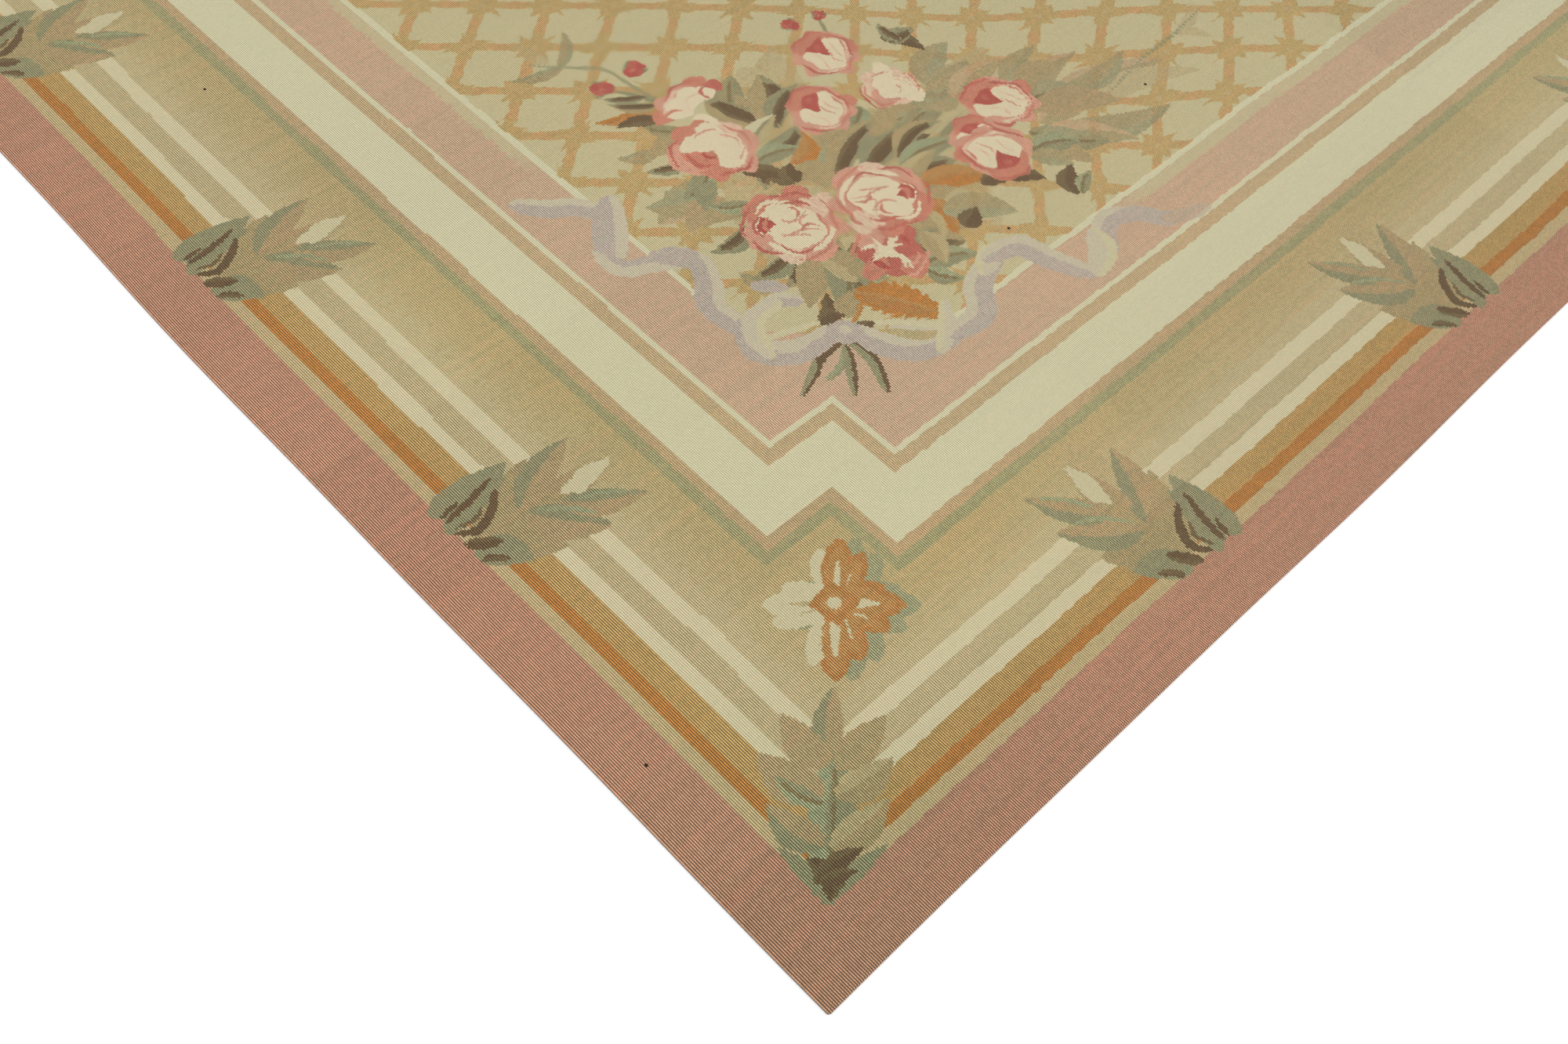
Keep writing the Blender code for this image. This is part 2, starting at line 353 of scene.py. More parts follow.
LEAVES = leaves(
    (1.94, 2.24, 2.06, 2.16, 0.08, 0.1, "olive"), (1.82, 2.28, 1.94, 2.42, 0.1, 0.06, "leafy"),
    (1.9, 2.2, 1.88, 2.34, 0.08, 0.08, "khaki"), (1.76, 1.96, 1.88, 1.88, 0.09, 0.1, "khaki"),
    (1.8, 2.08, 1.9, 1.98, 0.07, 0.1, "green"), (2.14, 2.02, 2.22, 1.92, 0.08, -0.1, "straw"),
    (2.16, 1.84, 2.34, 1.88, 0.08, 0.1, "leafy"), (2.1, 1.66, 2.24, 1.6, 0.09, 0.08, "straw"),
    (1.42, 1.62, 1.36, 1.76, 0.06, 0.1, "faded"), (1.52, 2.3, 1.4, 2.36, 0.06, 0.1, "faded"),
    (1.6, 2.34, 1.48, 2.3, 0.07, 0.1, "khaki"), (1.64, 2.32, 1.56, 2.42, 0.06, 0.1, "leafy"),
    (1.84, 2.14, 1.78, 2.34, 0.13, -0.1, "khaki"), (1.92, 2.22, 2.02, 2.34, 0.12, 0.06, "faded"),
    (1.74, 2.06, 1.66, 1.96, 0.08, 0.1, "brown"), (1.8, 1.94, 1.7, 2.02, 0.07, 0.16, "dark"),
    (1.86, 1.96, 1.94, 1.9, 0.07, 0.1, "straw"), (2.12, 1.9, 2.24, 1.8, 0.07, -0.16, "dark"),
    (2.06, 1.84, 2.22, 1.9, 0.08, 0.12, "straw"), (1.5, 2.06, 1.33, 2.14, 0.11, 0.1, "faded"),
    (1.54, 2.02, 1.36, 1.98, 0.11, -0.1, "dusk"), (1.6, 1.64, 1.44, 1.72, 0.1, 0.1, "olive"),
    (1.66, 1.7, 1.5, 1.6, 0.12, 0.1, "green"), (1.9, 1.56, 2.04, 1.44, 0.12, 0.08, "khaki"),
    (1.88, 1.54, 1.98, 1.4, 0.11, -0.08, "olive"), (2.4, 1.7, 2.22, 1.62, 0.11, 0.08, "khaki"),
    (2.42, 1.74, 2.26, 1.78, 0.11, 0.08, "leafy"), (2.62, 1.7, 2.8, 1.62, 0.12, 0.08, "leafy"),
    (2.6, 1.66, 2.86, 1.5, 0.13, 0.1, "dusk"), (2.5, 1.6, 2.68, 1.4, 0.12, -0.08, "leafy"),
    (2.46, 1.58, 2.56, 1.36, 0.1, 0.08, "khaki"), (2.64, 1.78, 2.84, 1.76, 0.1, 0.1, "khaki"),
    (1.92, 2.02, 2.04, 1.94, 0.09, 0.1, "khaki"), (2.16, 2.04, 2.04, 1.98, 0.08, 0.1, "green"),
    (2.2, 2.0, 2.3, 1.92, 0.09, 0.1, "khaki"), (1.88, 1.9, 1.96, 1.99, 0.08, -0.1, "green"),
    (1.66, 2.52, 1.545, 2.6, 0.04, 0.1, "deep"), (1.68, 2.47, 1.45, 2.53, 0.06, 0.12, "rust"),
    (1.66, 2.46, 1.54, 2.57, 0.05, 0.1, "brown"), (1.62, 2.4, 1.49, 2.47, 0.055, -0.1, "dark"),
    (1.85, 2.19, 1.8, 2.4, 0.12, 0.1, "brown"), (1.87, 2.17, 2.01, 2.37, 0.14, -0.1, "brown"),
    (1.88, 2.14, 2.08, 2.25, 0.08, 0.15, "deep"), (1.74, 2.12, 1.92, 2.19, 0.085, 0.08, "pale"),
    (1.76, 2.09, 1.95, 2.11, 0.08, -0.14, "deep"), (1.72, 2.07, 1.88, 2.02, 0.08, 0.1, "green"),
    (1.66, 2.06, 1.76, 1.96, 0.06, 0.1, "dark"), (1.8, 1.99, 1.93, 2.08, 0.075, -0.25, "rust"),
    (1.56, 2.21, 1.43, 2.26, 0.05, 0.12, "deep"), (1.58, 2.13, 1.44, 2.09, 0.09, 0.1, "green"),
    (1.56, 2.1, 1.46, 2.0, 0.07, -0.1, "grey"), (1.53, 1.88, 1.35, 1.875, 0.075, 0.16, "deep"),
    (1.58, 1.93, 1.4, 1.97, 0.08, -0.14, "khaki"), (1.58, 1.95, 1.48, 2.02, 0.06, 0.1, "green"),
    (1.56, 1.72, 1.37, 1.715, 0.075, 0.14, "deep"), (1.6, 1.7, 1.42, 1.62, 0.09, 0.12, "brown"),
    (1.68, 1.66, 1.42, 1.52, 0.13, -0.08, "khaki"), (1.66, 1.64, 1.48, 1.44, 0.14, 0.1, "green"),
    (1.72, 1.62, 1.56, 1.45, 0.11, 0.1, "olive"), (1.68, 1.48, 1.6, 1.68, 0.12, 0.08, "straw"),
    (1.7, 1.56, 1.62, 1.42, 0.09, -0.08, "green"), (1.86, 1.82, 1.84, 1.98, 0.11, 0.0, "khaki"),
    (1.76, 1.92, 1.8, 2.0, 0.07, 0.2, "dark"), (1.87, 1.86, 2.17, 1.96, 0.11, 0.12, "brown"),
    (1.96, 1.84, 2.16, 1.9, 0.09, -0.16, "khaki"), (1.96, 1.82, 2.27, 1.85, 0.13, 0.14, "deep"),
    (2.08, 1.79, 2.32, 1.82, 0.08, 0.2, "brown"), (2.06, 1.76, 2.3, 1.72, 0.09, 0.1, "green"),
    (2.04, 1.74, 2.22, 1.66, 0.1, 0.06, "deep"), (2.0, 1.68, 2.2, 1.74, 0.08, 0.1, "straw"),
    (2.02, 1.66, 2.26, 1.53, 0.11, 0.12, "rust"), (2.0, 1.58, 2.13, 1.58, 0.07, 0.2, "khaki"),
    (2.0, 1.62, 1.98, 1.44, 0.09, 0.14, "rust"), (1.96, 1.6, 1.92, 1.44, 0.08, 0.1, "straw"),
    (2.02, 1.54, 2.2, 1.38, 0.12, 0.1, "faded"), (2.02, 1.44, 2.11, 1.48, 0.08, 0.0, "dark"),
    (2.2, 1.54, 2.36, 1.46, 0.08, 0.16, "dark"), (2.28, 1.52, 2.38, 1.42, 0.07, 0.1, "dark"),
    (2.44, 1.54, 2.6, 1.46, 0.1, 0.1, "green"), (2.42, 1.52, 2.5, 1.4, 0.08, 0.1, "faded"),
    (2.4, 1.31, 2.49, 1.41, 0.08, 0.15, "dark"), (2.42, 1.3, 2.52, 1.35, 0.05, 0.1, "green"),
    (2.46, 2.24, 2.53, 2.1, 0.07, 0.15, "dark"), (2.46, 2.2, 2.58, 2.2, 0.08, 0.1, "deep"),
    (2.5, 2.18, 2.5, 2.3, 0.05, 0.1, "deep"), (2.42, 1.84, 2.3, 1.92, 0.09, -0.1, "faded"),
    (2.22, 1.98, 2.08, 1.92, 0.08, 0.12, "khaki"), (1.8, 1.42, 1.97, 1.34, 0.09, 0.1, "green"),
    (1.84, 1.46, 1.95, 1.5, 0.07, 0.12, "deep"), (1.8, 1.4, 1.86, 1.3, 0.07, -0.1, "green"),
    (1.565, 1.48, 1.715, 1.215, 0.15, 0.05, "oak"), (1.46, 1.44, 1.5, 1.53, 0.05, 0.1, "dark"),
    (1.62, 1.56, 1.68, 1.44, 0.08, 0.1, "khaki"), (1.9, 1.52, 1.86, 1.38, 0.08, 0.1, "straw"),
    (1.48, 1.42, 1.56, 1.49, 0.07, 0.1, "khaki"), (1.4, 1.46, 1.48, 1.43, 0.06, 0.2, "dark"),
    (1.46, 1.34, 1.53, 1.36, 0.06, 0.2, "dark"),
)

# A stroke: the points it runs through, its width, its blend and the blend of its edge on one side. Its
# ends narrow to a share of its width, and its edge starts at a share of its half width
Stroke = namedtuple("Stroke", "points width blend edge", defaults=(None,))
STROKE_TAPER = 0.35
RIBBON_TAPER = 0.55
STROKE_EDGE = 0.25
STEMS = (
    Stroke(((1.46, 2.88), (1.56, 2.78), (1.64, 2.70), (1.66, 2.56), (1.68, 2.48)), 0.018, "faded_sage"),
    Stroke(((1.60, 2.60), (1.64, 2.54), (1.67, 2.47)), 0.020, "sage"),
    Stroke(((2.36, 2.44), (2.34, 2.39), (2.31, 2.36)), 0.016, "sage"),
    Stroke(((1.95, 2.02), (1.90, 1.93), (1.83, 1.83)), 0.032, "amber", "rust"),
    Stroke(((2.86, 1.55), (3.05, 1.585), (3.28, 1.60), (3.47, 1.63)), 0.018, "faded_sage"),
    Stroke(((1.43, 1.40), (1.52, 1.49), (1.57, 1.48), (1.53, 1.42), (1.45, 1.39)), 0.022, "amber", "rust"),
    Stroke(((1.40, 1.37), (1.31, 1.36), (1.25, 1.33), (1.18, 1.30)), 0.034, "sage", "bark"),
    Stroke(((1.39, 1.34), (1.33, 1.30), (1.27, 1.29)), 0.028, "mint", "sage"),
    Stroke(((1.40, 1.35), (1.36, 1.29), (1.29, 1.20)), 0.034, "sage", "bark"),
    Stroke(((1.42, 1.35), (1.42, 1.26), (1.37, 1.15)), 0.040, "sage", "bark"),
    Stroke(((1.39, 1.36), (1.33, 1.37), (1.29, 1.35)), 0.024, "bark"),
)
# The ribbon's runs, from behind to in front, with the blend of the side that catches the light
RIBBON = (
    Stroke(((1.04, 2.40), (1.10, 2.33), (1.17, 2.28), (1.23, 2.19)), 0.080, "lilac", "pale_lilac"),
    Stroke(((1.26, 2.23), (1.18, 2.13), (1.11, 2.04)), 0.110, "lilac", "pale_lilac"),
    Stroke(((1.10, 2.09), (1.11, 2.00), (1.19, 1.95), (1.27, 1.90)), 0.070, "pale_lilac", "lilac"),
    Stroke(((1.22, 1.97), (1.28, 1.91), (1.30, 1.83)), 0.080, "lilac"),
    Stroke(((1.31, 1.87), (1.26, 1.78), (1.21, 1.71), (1.22, 1.57)), 0.088, "lilac", "pale_lilac"),
    Stroke(((1.23, 1.60), (1.20, 1.50), (1.29, 1.42), (1.42, 1.41)), 0.094, "lilac", "pale_lilac"),
    Stroke(((1.36, 1.69), (1.39, 1.66), (1.42, 1.63)), 0.050, "lilac"),
    Stroke(((1.34, 1.62), (1.38, 1.60), (1.42, 1.56)), 0.056, "lilac", "pale_lilac"),
    Stroke(((1.36, 1.60), (1.28, 1.60), (1.23, 1.55), (1.21, 1.47)), 0.070, "pale_lilac", "cream"),
    Stroke(((1.22, 1.525), (1.30, 1.50), (1.40, 1.462)), 0.024, "cream"),
    Stroke(((1.24, 1.455), (1.29, 1.435), (1.35, 1.43)), 0.026, "pale_lilac"),
    Stroke(((1.46, 1.37), (1.49, 1.27), (1.55, 1.20), (1.66, 1.16)), 0.094, "lilac", "pale_lilac"),
    Stroke(((1.55, 1.30), (1.59, 1.25), (1.64, 1.21)), 0.060, "straw", "pale_lilac"),
    Stroke(((1.53, 1.355), (1.59, 1.30), (1.66, 1.23), (1.71, 1.20)), 0.026, "cream"),
    Stroke(((1.60, 1.15), (1.67, 1.195), (1.74, 1.27)), 0.056, "pale_lilac", "cream"),
    Stroke(((1.68, 1.17), (1.79, 1.17), (1.88, 1.26), (2.00, 1.30)), 0.094, "lilac", "pale_lilac"),
    Stroke(((1.93, 1.28), (1.99, 1.31), (2.06, 1.30)), 0.080, "pale_lilac", "cream"),
    Stroke(((1.98, 1.31), (2.09, 1.28), (2.12, 1.18), (2.17, 1.06)), 0.090, "lilac", "pale_lilac"),
    Stroke(((2.30, 1.08), (2.32, 1.13), (2.40, 1.17), (2.48, 1.13)), 0.084, "lilac", "pale_lilac"),
    Stroke(((2.43, 1.16), (2.49, 1.12), (2.53, 1.06), (2.58, 1.03)), 0.070, "lilac"),
    Stroke(((2.54, 1.05), (2.60, 1.02), (2.68, 1.00)), 0.060, "faded_lilac"),
    Stroke(((2.31, 1.16), (2.28, 1.10), (2.20, 1.05)), 0.095, "pale_lilac", "cream"),
)
# The knot is longer across its turn than along it, with a light spot moved along it
KNOT_PLACE = (1.435, 1.385)
KNOT_RADIUS = 0.045
KNOT_TURN = 45
KNOT_SQUEEZE = 0.8
KNOT_LIGHT_SHIFT = 0.01
KNOT_LIGHT_SHARE = 0.4

# A border cluster: its leaves' places inwards from its base, and towards the rug's corner
CLUSTER = leaves(
    (0.3, 0.04, 0.5, -0.02, 0.15, 0.0, "ghost"), (0.02, 0.04, 0.4, 0.06, 0.17, 0.0, "khaki"),
    (0.03, 0.01, 0.285, -0.105, 0.11, 0.04, "khaki"), (0.04, 0.05, 0.19, 0.19, 0.11, -0.04, "khaki"),
    (0.17, 0.02, 0.41, -0.085, 0.1, -0.06, "edged"), (0.17, 0.04, 0.32, 0.215, 0.115, 0.05, "edged"),
    (0.26, 0.07, 0.455, 0.195, 0.09, 0.06, "edged"), (0.24, 0.01, 0.435, 0.03, 0.055, 0.06, "dusk"),
    (0.28, 0.045, 0.455, 0.04, 0.045, 0.04, "cream"), (0.31, 0.07, 0.45, 0.05, 0.06, -0.12, "cream"),
    (0.0, 0.04, 0.1, 0.165, 0.1, -0.1, "grey"), (-0.02, -0.125, 0.24, -0.13, 0.105, 0.04, "grey"),
    (-0.02, -0.045, 0.21, -0.09, 0.085, -0.1, "grey"),
)
CLUSTER_CRESCENTS = (
    Stroke(((0.00, -0.078), (0.08, -0.092), (0.17, -0.116)), 0.022, "bark"),
    Stroke(((0.00, -0.098), (0.03, -0.105), (0.06, -0.112)), 0.016, "bark"),
    Stroke(((0.00, -0.030), (0.05, -0.005), (0.11, -0.030), (0.16, -0.078)), 0.028, "bark"),
    Stroke(((0.01, -0.048), (0.06, -0.036), (0.10, -0.056)), 0.014, "moss"),
    Stroke(((0.00, 0.010), (0.03, 0.035), (0.07, 0.060)), 0.040, "bark", "moss"),
    Stroke(((0.00, 0.075), (0.03, 0.095), (0.05, 0.120)), 0.024, "moss", "bark"),
    Stroke(((0.20, 0.045), (0.27, 0.10), (0.31, 0.16)), 0.016, "mint"),
    Stroke(((0.31, 0.09), (0.37, 0.12), (0.43, 0.17)), 0.014, "mint"),
)
CLUSTER_BASE = 0.181
LEFT_CLUSTERS = (1.530, 2.732, 3.935)
NEAR_CLUSTERS = (1.600, 2.950, 4.315, 5.682)
LEFT_SPREAD = 1.0
NEAR_SPREAD = 1.12

# The corner's acanthus, up the diagonal
CORNER_LEAVES = leaves(
    (0.19, 0.17, 0.187, 0.365, 0.05, -0.04, "grey"), (0.17, 0.19, 0.385, 0.186, 0.046, 0.04, "grey"),
    (0.2, 0.2, 0.5, 0.48, 0.12, 0.0, "green"), (0.44, 0.44, 0.59, 0.575, 0.08, 0.06, "edged"),
    (0.415, 0.43, 0.438, 0.612, 0.095, 0.04, "dusk"), (0.43, 0.415, 0.622, 0.432, 0.095, -0.04, "khaki"),
    (0.36, 0.38, 0.322, 0.575, 0.11, 0.1, "dusk"), (0.38, 0.36, 0.555, 0.338, 0.09, -0.08, "straw"),
    (0.345, 0.37, 0.312, 0.5, 0.05, 0.1, "green"), (0.275, 0.29, 0.246, 0.46, 0.09, 0.1, "edged"),
    (0.28, 0.275, 0.47, 0.272, 0.09, -0.08, "straw"),
)
CORNER_SPINE = Stroke(((0.26, 0.27), (0.34, 0.34), (0.47, 0.46)), 0.014, "sage", "leaf")
CORNER_THORNS = leaves(
    (0.24, 0.19, 0.222, 0.295, 0.06, 0.0, "dark"), (0.27, 0.25, 0.186, 0.182, 0.06, 0.0, "dark"),
    (0.19, 0.24, 0.34, 0.222, 0.05, 0.06, "dark"), (0.2, 0.23, 0.286, 0.196, 0.04, 0.0, "dark"),
)

# The corner's four-petalled rosette: each lobe's reach from the middle, its angle and its tone
Lobe = namedtuple("Lobe", "angle reach width tone")
ROSETTE = (
    Lobe(160, 0.176, 0.075, "cream"),
    Lobe(117, 0.146, 0.070, "cream"),
    Lobe(140, 0.188, 0.085, "cream"),
    Lobe(19, 0.178, 0.075, "tan"),
    Lobe(60, 0.172, 0.075, "cream"),
    Lobe(41, 0.202, 0.085, "tan"),
    Lobe(-22, 0.144, 0.075, "tan"),
    Lobe(-72, 0.164, 0.080, "tan"),
    Lobe(-44, 0.186, 0.095, "tan"),
    Lobe(248, 0.184, 0.085, "tan"),
    Lobe(226, 0.232, 0.095, "tan"),
    Lobe(208, 0.200, 0.070, "cream"),
)
ROSETTE_PLACE = (0.760, 0.750)
ROSETTE_TURN = 8
# A lobe's rim, the lining's inset in rims, and how much of an inset shortens and thins a lobe
ROSETTE_RIM = 0.024
ROSETTE_LINING = 2.6
LOBE_SHORTENING = 1.1
LOBE_THINNING = 0.55
ROSETTE_RING = (0.030, 0.050)
ROSETTE_BOSS = 0.019
ROSETTE_SHADOW = (0.030, -0.028)

# Stripes: where the notched bands, the inner rose band and the field start, in border widths
NOTCH = 0.245
BAND_START = 0.705
INNER_START = 0.997
FIELD_START = 1.217
RAMP_TOP = 1.4
# How far a stripe's edge steps, and every how many ribs and picks, along the width and the length
Edge = namedtuple("Edge", "step ribs picks seed")
STRIPE_EDGES = (Edge(0.0025, 3, 60, 0.0), Edge(0.0040, 4, 80, 4.0))
STRIPE_WAVE = 0.017
STRIPE_WAVE_SCALE = 3.5
GROUND_FRAY = 0.046
# The sage strip fades in along the inner rose band, beyond the ribbon's ends
SAGE_START = 1.157
SAGE_END = 1.197
SAGE_FRAY = 0.014
# The field's corner is cut off along the ribbon, where both distances add up to this
KNOT_LINE = 2.80
SAGE_REACH = (2.42, 2.62)

# Trellis: where a crossing lies, the diamonds' full size, and the stretch behind the bouquet
TRELLIS_ORIGIN = (3.37, 1.42)
TRELLIS_PITCH = (0.333, 0.275)
TRELLIS_STRETCH = 0.28
TRELLIS_STRETCH_PLACE = 2.75
TRELLIS_STRETCH_WIDTH = 0.40
# Half a bar's width, a star's size, and how ragged both are, in diamonds
BAR_WIDTH = 0.085
BAR_RAG = 0.11
STAR_SIZE = 0.47
STAR_POWER = 0.62
STAR_RAG = 0.30
# Where a bar's colour fades into the ties', and the pale sparks in a star's middle
BAR_FADE = (0.46, 0.22)
SPARK_REACH = 0.05
SPARK_SHARE = 0.45


def linear(red, green, blue):
    """A colour of 0 to 255 in sRGB as linear light: (x + 0.055) / 1.055 to the power 2.4, or x / 12.92
    near black."""
    shares = np.array([red, green, blue]) / 255
    curved = ((shares + 0.055) / 1.055) ** 2.4
    return tuple(float(x) for x in np.where(shares <= 0.04045, shares / 12.92, curved))


def colour_property(name, description, *rgb):
    """A colour given as 0 to 255 in sRGB."""
    return bpy.props.FloatVectorProperty(
        name=name, description=description, subtype="COLOR", size=3, min=0.0, max=1.0, default=linear(*rgb)
    )


def size_property(name, description, default, low):
    """A length in metres."""
    return bpy.props.FloatProperty(
        name=name, description=description, default=default, min=low, unit="LENGTH"
    )


class RugCloth(bpy.types.PropertyGroup):
    """Sizes of the cloth."""

    length: size_property("Length", "Long side of the rug", LENGTH, 1.0)
    width: size_property("Width", "Short side of the rug", WIDTH, 1.0)
    thickness: size_property("Thickness", "Thickness of the woven cloth", THICKNESS, 0.001)
    rib_depth: size_property("Rib depth", "Height of the ribs over their grooves", RIB_DEPTH, 0.0)


class RugGround(bpy.types.PropertyGroup):
    """Yarn colours of the border, the bands and the field."""

    rose: colour_property("Outer rose", "Outermost band", 179, 134, 108)
    straw: colour_property("Straw", "Narrow stripe inside the rose band", 186, 166, 123)
    rust: colour_property("Rust", "Rust stripe", 175, 121, 62)
    ochre: colour_property("Ochre", "Ochre stripe", 178, 147, 92)
    cream: colour_property("Cream", "Cream stripes", 207, 196, 158)
    beige: colour_property("Beige", "Stripe between the cream ones", 183, 168, 127)
    pale_beige: colour_property("Pale beige", "Inside the second cream stripe", 187, 172, 130)
    tan: colour_property("Tan", "Wide ground of the border", 178, 160, 114)
    green: colour_property("Green line", "Line around the cream band", 158, 152, 111)
    pinkish_tan: colour_property("Pinkish tan", "Line beside the green one", 181, 157, 118)
    pale_cream: colour_property("Pale cream", "Wide notched band", 207, 201, 165)
    tan_line: colour_property("Tan line", "Line inside the cream band", 186, 163, 124)
    inner_rose: colour_property("Inner rose", "Rose band around the field", 192, 163, 133)
    sage: colour_property("Sage strip", "Strip around the field", 193, 179, 140)
    field: colour_property("Field", "Ground of the field", 193, 182, 140)
    bar: colour_property("Trellis bars", "Middle of the bars", 188, 152, 102)
    tie: colour_property("Trellis ties", "Stars over the crossings", 182, 156, 103)


class RugStage(bpy.types.PropertyGroup):
    """Floor and light."""

    floor_colour: colour_property("Floor", "Colour of the floor", 250, 250, 249)
    sky: bpy.props.FloatProperty(name="Sky", description="Even light from all round", default=0.62, min=0.0)
    lamp: bpy.props.FloatProperty(
        name="Lamp", description="Power of the large soft lamp", default=400.0, min=0.0, unit="POWER"
    )


class Patch:
    """A window of the cartoon: its stitches' places in border widths, and a way to paint them."""

    def __init__(self, cells, along_u, along_v):
        self.cells = cells
        self.u = along_u
        self.v = along_v

    def turned(self, place, angle):
        """Places seen from a point along a direction: their parts along it and across it."""
        du = self.u - place[0]
        dv = self.v - place[1]
        cosine = math.cos(angle)
        sine = math.sin(angle)
        return du * cosine + dv * sine, dv * cosine - du * sine

    def put(self, where, blend):
        self.cells[where] = BLEND_NUMBER[blend]


class Cartoon:
    """A quarter of the design, one number for each stitch: its yarn blend, or 0 for the ground.

    Each stitch's place strays a little from its true one, by up to YARN_WOBBLE, in steps a few
    picks long on each rib, so that outlines step the way the weaver's do.
    """

    def __init__(self):
        self.cells = np.full((HALF_RIBS, HALF_PICKS), GROUND, np.int16)
        rng = np.random.default_rng(11)
        ribs = (np.arange(HALF_RIBS) + 0.5) * RIB / BORDER_U
        picks = (np.arange(HALF_PICKS) + 0.5) * PICK / BORDER_V
        steps_u = np.repeat(rng.uniform(-1, 1, (HALF_RIBS // 2, HALF_PICKS // 8)), 8, axis=1)
        steps_v = np.repeat(rng.uniform(-1, 1, (HALF_RIBS, HALF_PICKS // 16)), 16, axis=1)
        self.u = ribs[:, None] + YARN_WOBBLE_U * np.repeat(steps_u, 2, axis=0)
        self.v = picks[None, :] + YARN_WOBBLE_V * steps_v

    def patch(self, low, high):
        """The window between two places, cut off at the quarter's edges."""
        low_rib = max(0, int(low[0] * BORDER_U / RIB))
        low_pick = max(0, int(low[1] * BORDER_V / PICK))
        high_rib = min(HALF_RIBS, int(high[0] * BORDER_U / RIB) + 1)
        high_pick = min(HALF_PICKS, int(high[1] * BORDER_V / PICK) + 1)
        window = (slice(low_rib, high_rib), slice(low_pick, high_pick))
        return Patch(self.cells[window], self.u[window], self.v[window])

    def around(self, place, reach):
        return self.patch((place[0] - reach, place[1] - reach), (place[0] + reach, place[1] + reach))


def smooth_path(points, steps):
    """Points along a Catmull-Rom curve: each stretch is a cubic whose ends' slopes are half the
    difference of their neighbours on both sides."""
    known = np.array(points, float)
    known = np.vstack([2 * known[0] - known[1], known, 2 * known[-1] - known[-2]])
    share = np.linspace(0, 1, steps, endpoint=False)[None, :, None]
    before, start, end, after = (known[k : len(known) - 3 + k, None, :] for k in range(4))
    slope = 2 * before - 5 * start + 4 * end - after
    curl = -before + 3 * start - 3 * end + after
    path = 0.5 * (2 * start + (end - before) * share + slope * share**2 + curl * share**3)
    return np.vstack([path.reshape(-1, 2), known[-2]])


def along_path(patch, path):
    """For each stitch, the nearest path sample's share of the way, and its distance, signed by side."""
    nearest = np.full(patch.u.shape, np.inf)
    share = np.zeros(patch.u.shape)
    side = np.zeros(patch.u.shape)
    slopes = np.gradient(path, axis=0)
    for step, (place, slope) in enumerate(zip(path, slopes)):
        du = patch.u - place[0]
        dv = patch.v - place[1]
        squared = du * du + dv * dv
        closer = squared < nearest
        nearest = np.where(closer, squared, nearest)
        share = np.where(closer, step / (len(path) - 1), share)
        side = np.where(closer, np.sign(dv * slope[0] - du * slope[1]), side)
    return share, np.sqrt(nearest) * side


def paint_stroke(cartoon, stroke, steps=10, taper=STROKE_TAPER):
    """A band along a smooth path. Its half width is half the stroke's, narrowed to `taper` at both ends
    as a sine's root; its edge blend fills one side from STROKE_EDGE of the half width outwards."""
    path = smooth_path(stroke.points, steps)
    patch = cartoon.patch(path.min(0) - stroke.width, path.max(0) + stroke.width)
    share, offset = along_path(patch, path)
    half = stroke.width / 2 * (taper + (1 - taper) * np.sqrt(np.clip(np.sin(np.pi * share), 0, 1)))
    inside = np.abs(offset) < half
    patch.put(inside, stroke.blend)
    if stroke.edge:
        patch.put(inside & (offset > STROKE_EDGE * half), stroke.edge)


def paint_leaf(cartoon, leaf, teeth=0):
    """A leaf from base to tip. With s along it from 0 to 1 and t across it as a share of its length,
    t moves by bend times 4 s (1 - s); its half width is the sine of pi times s to the power 0.75, to
    the power 0.8, notched where it has teeth. One half is lit and the other shaded, and a wedge that
    narrows towards the tip darkens the shaded half."""
    base = np.array(leaf.base)
    reach = np.array(leaf.tip) - base
    length = float(np.hypot(*reach))
    angle = math.atan2(reach[1], reach[0])
    patch = cartoon.around(base + reach / 2, length / 2 + leaf.width)
    along, across = patch.turned(base, angle)
    s = along / length
    t = across / length - leaf.bend * 4 * s * (1 - s)
    shape = np.sin(np.pi * np.clip(s, 0, 1) ** 0.75) ** 0.8
    if teeth:
        shape = shape * (1 - TOOTH_DEPTH * ((s * teeth) % 1))
    half = leaf.width / 2 / length * shape
    inside = (s > 0) & (s < 1) & (np.abs(t) < half)
    tone = LEAF_TONES[leaf.tone]
    patch.put(inside, tone.lit)
    patch.put(inside & (t < SHADE_START * half), tone.shade)
    if tone.wedge:
        across_wedge = (t > WEDGE_ACROSS[0] * half) & (t < WEDGE_ACROSS[1] * half)
        along_wedge = (s > WEDGE_ALONG[0]) & (s < WEDGE_ALONG[1])
        patch.put(inside & across_wedge & along_wedge, tone.wedge)
    if tone.midrib:
        midrib = np.abs(t) < MIDRIB_HALF / length + MIDRIB_SHARE * half
        patch.put(inside & midrib & (s < MIDRIB_END), tone.midrib)


def ruffle(place, turn, slow, fast, again):
    """Two sines of a place, started by the rose's own turn, so that no two roses ruffle alike."""
    wide = RUFFLE_REACH[0] * np.sin(slow * place + turn)
    return wide + RUFFLE_REACH[1] * np.sin(fast * place + again * turn)


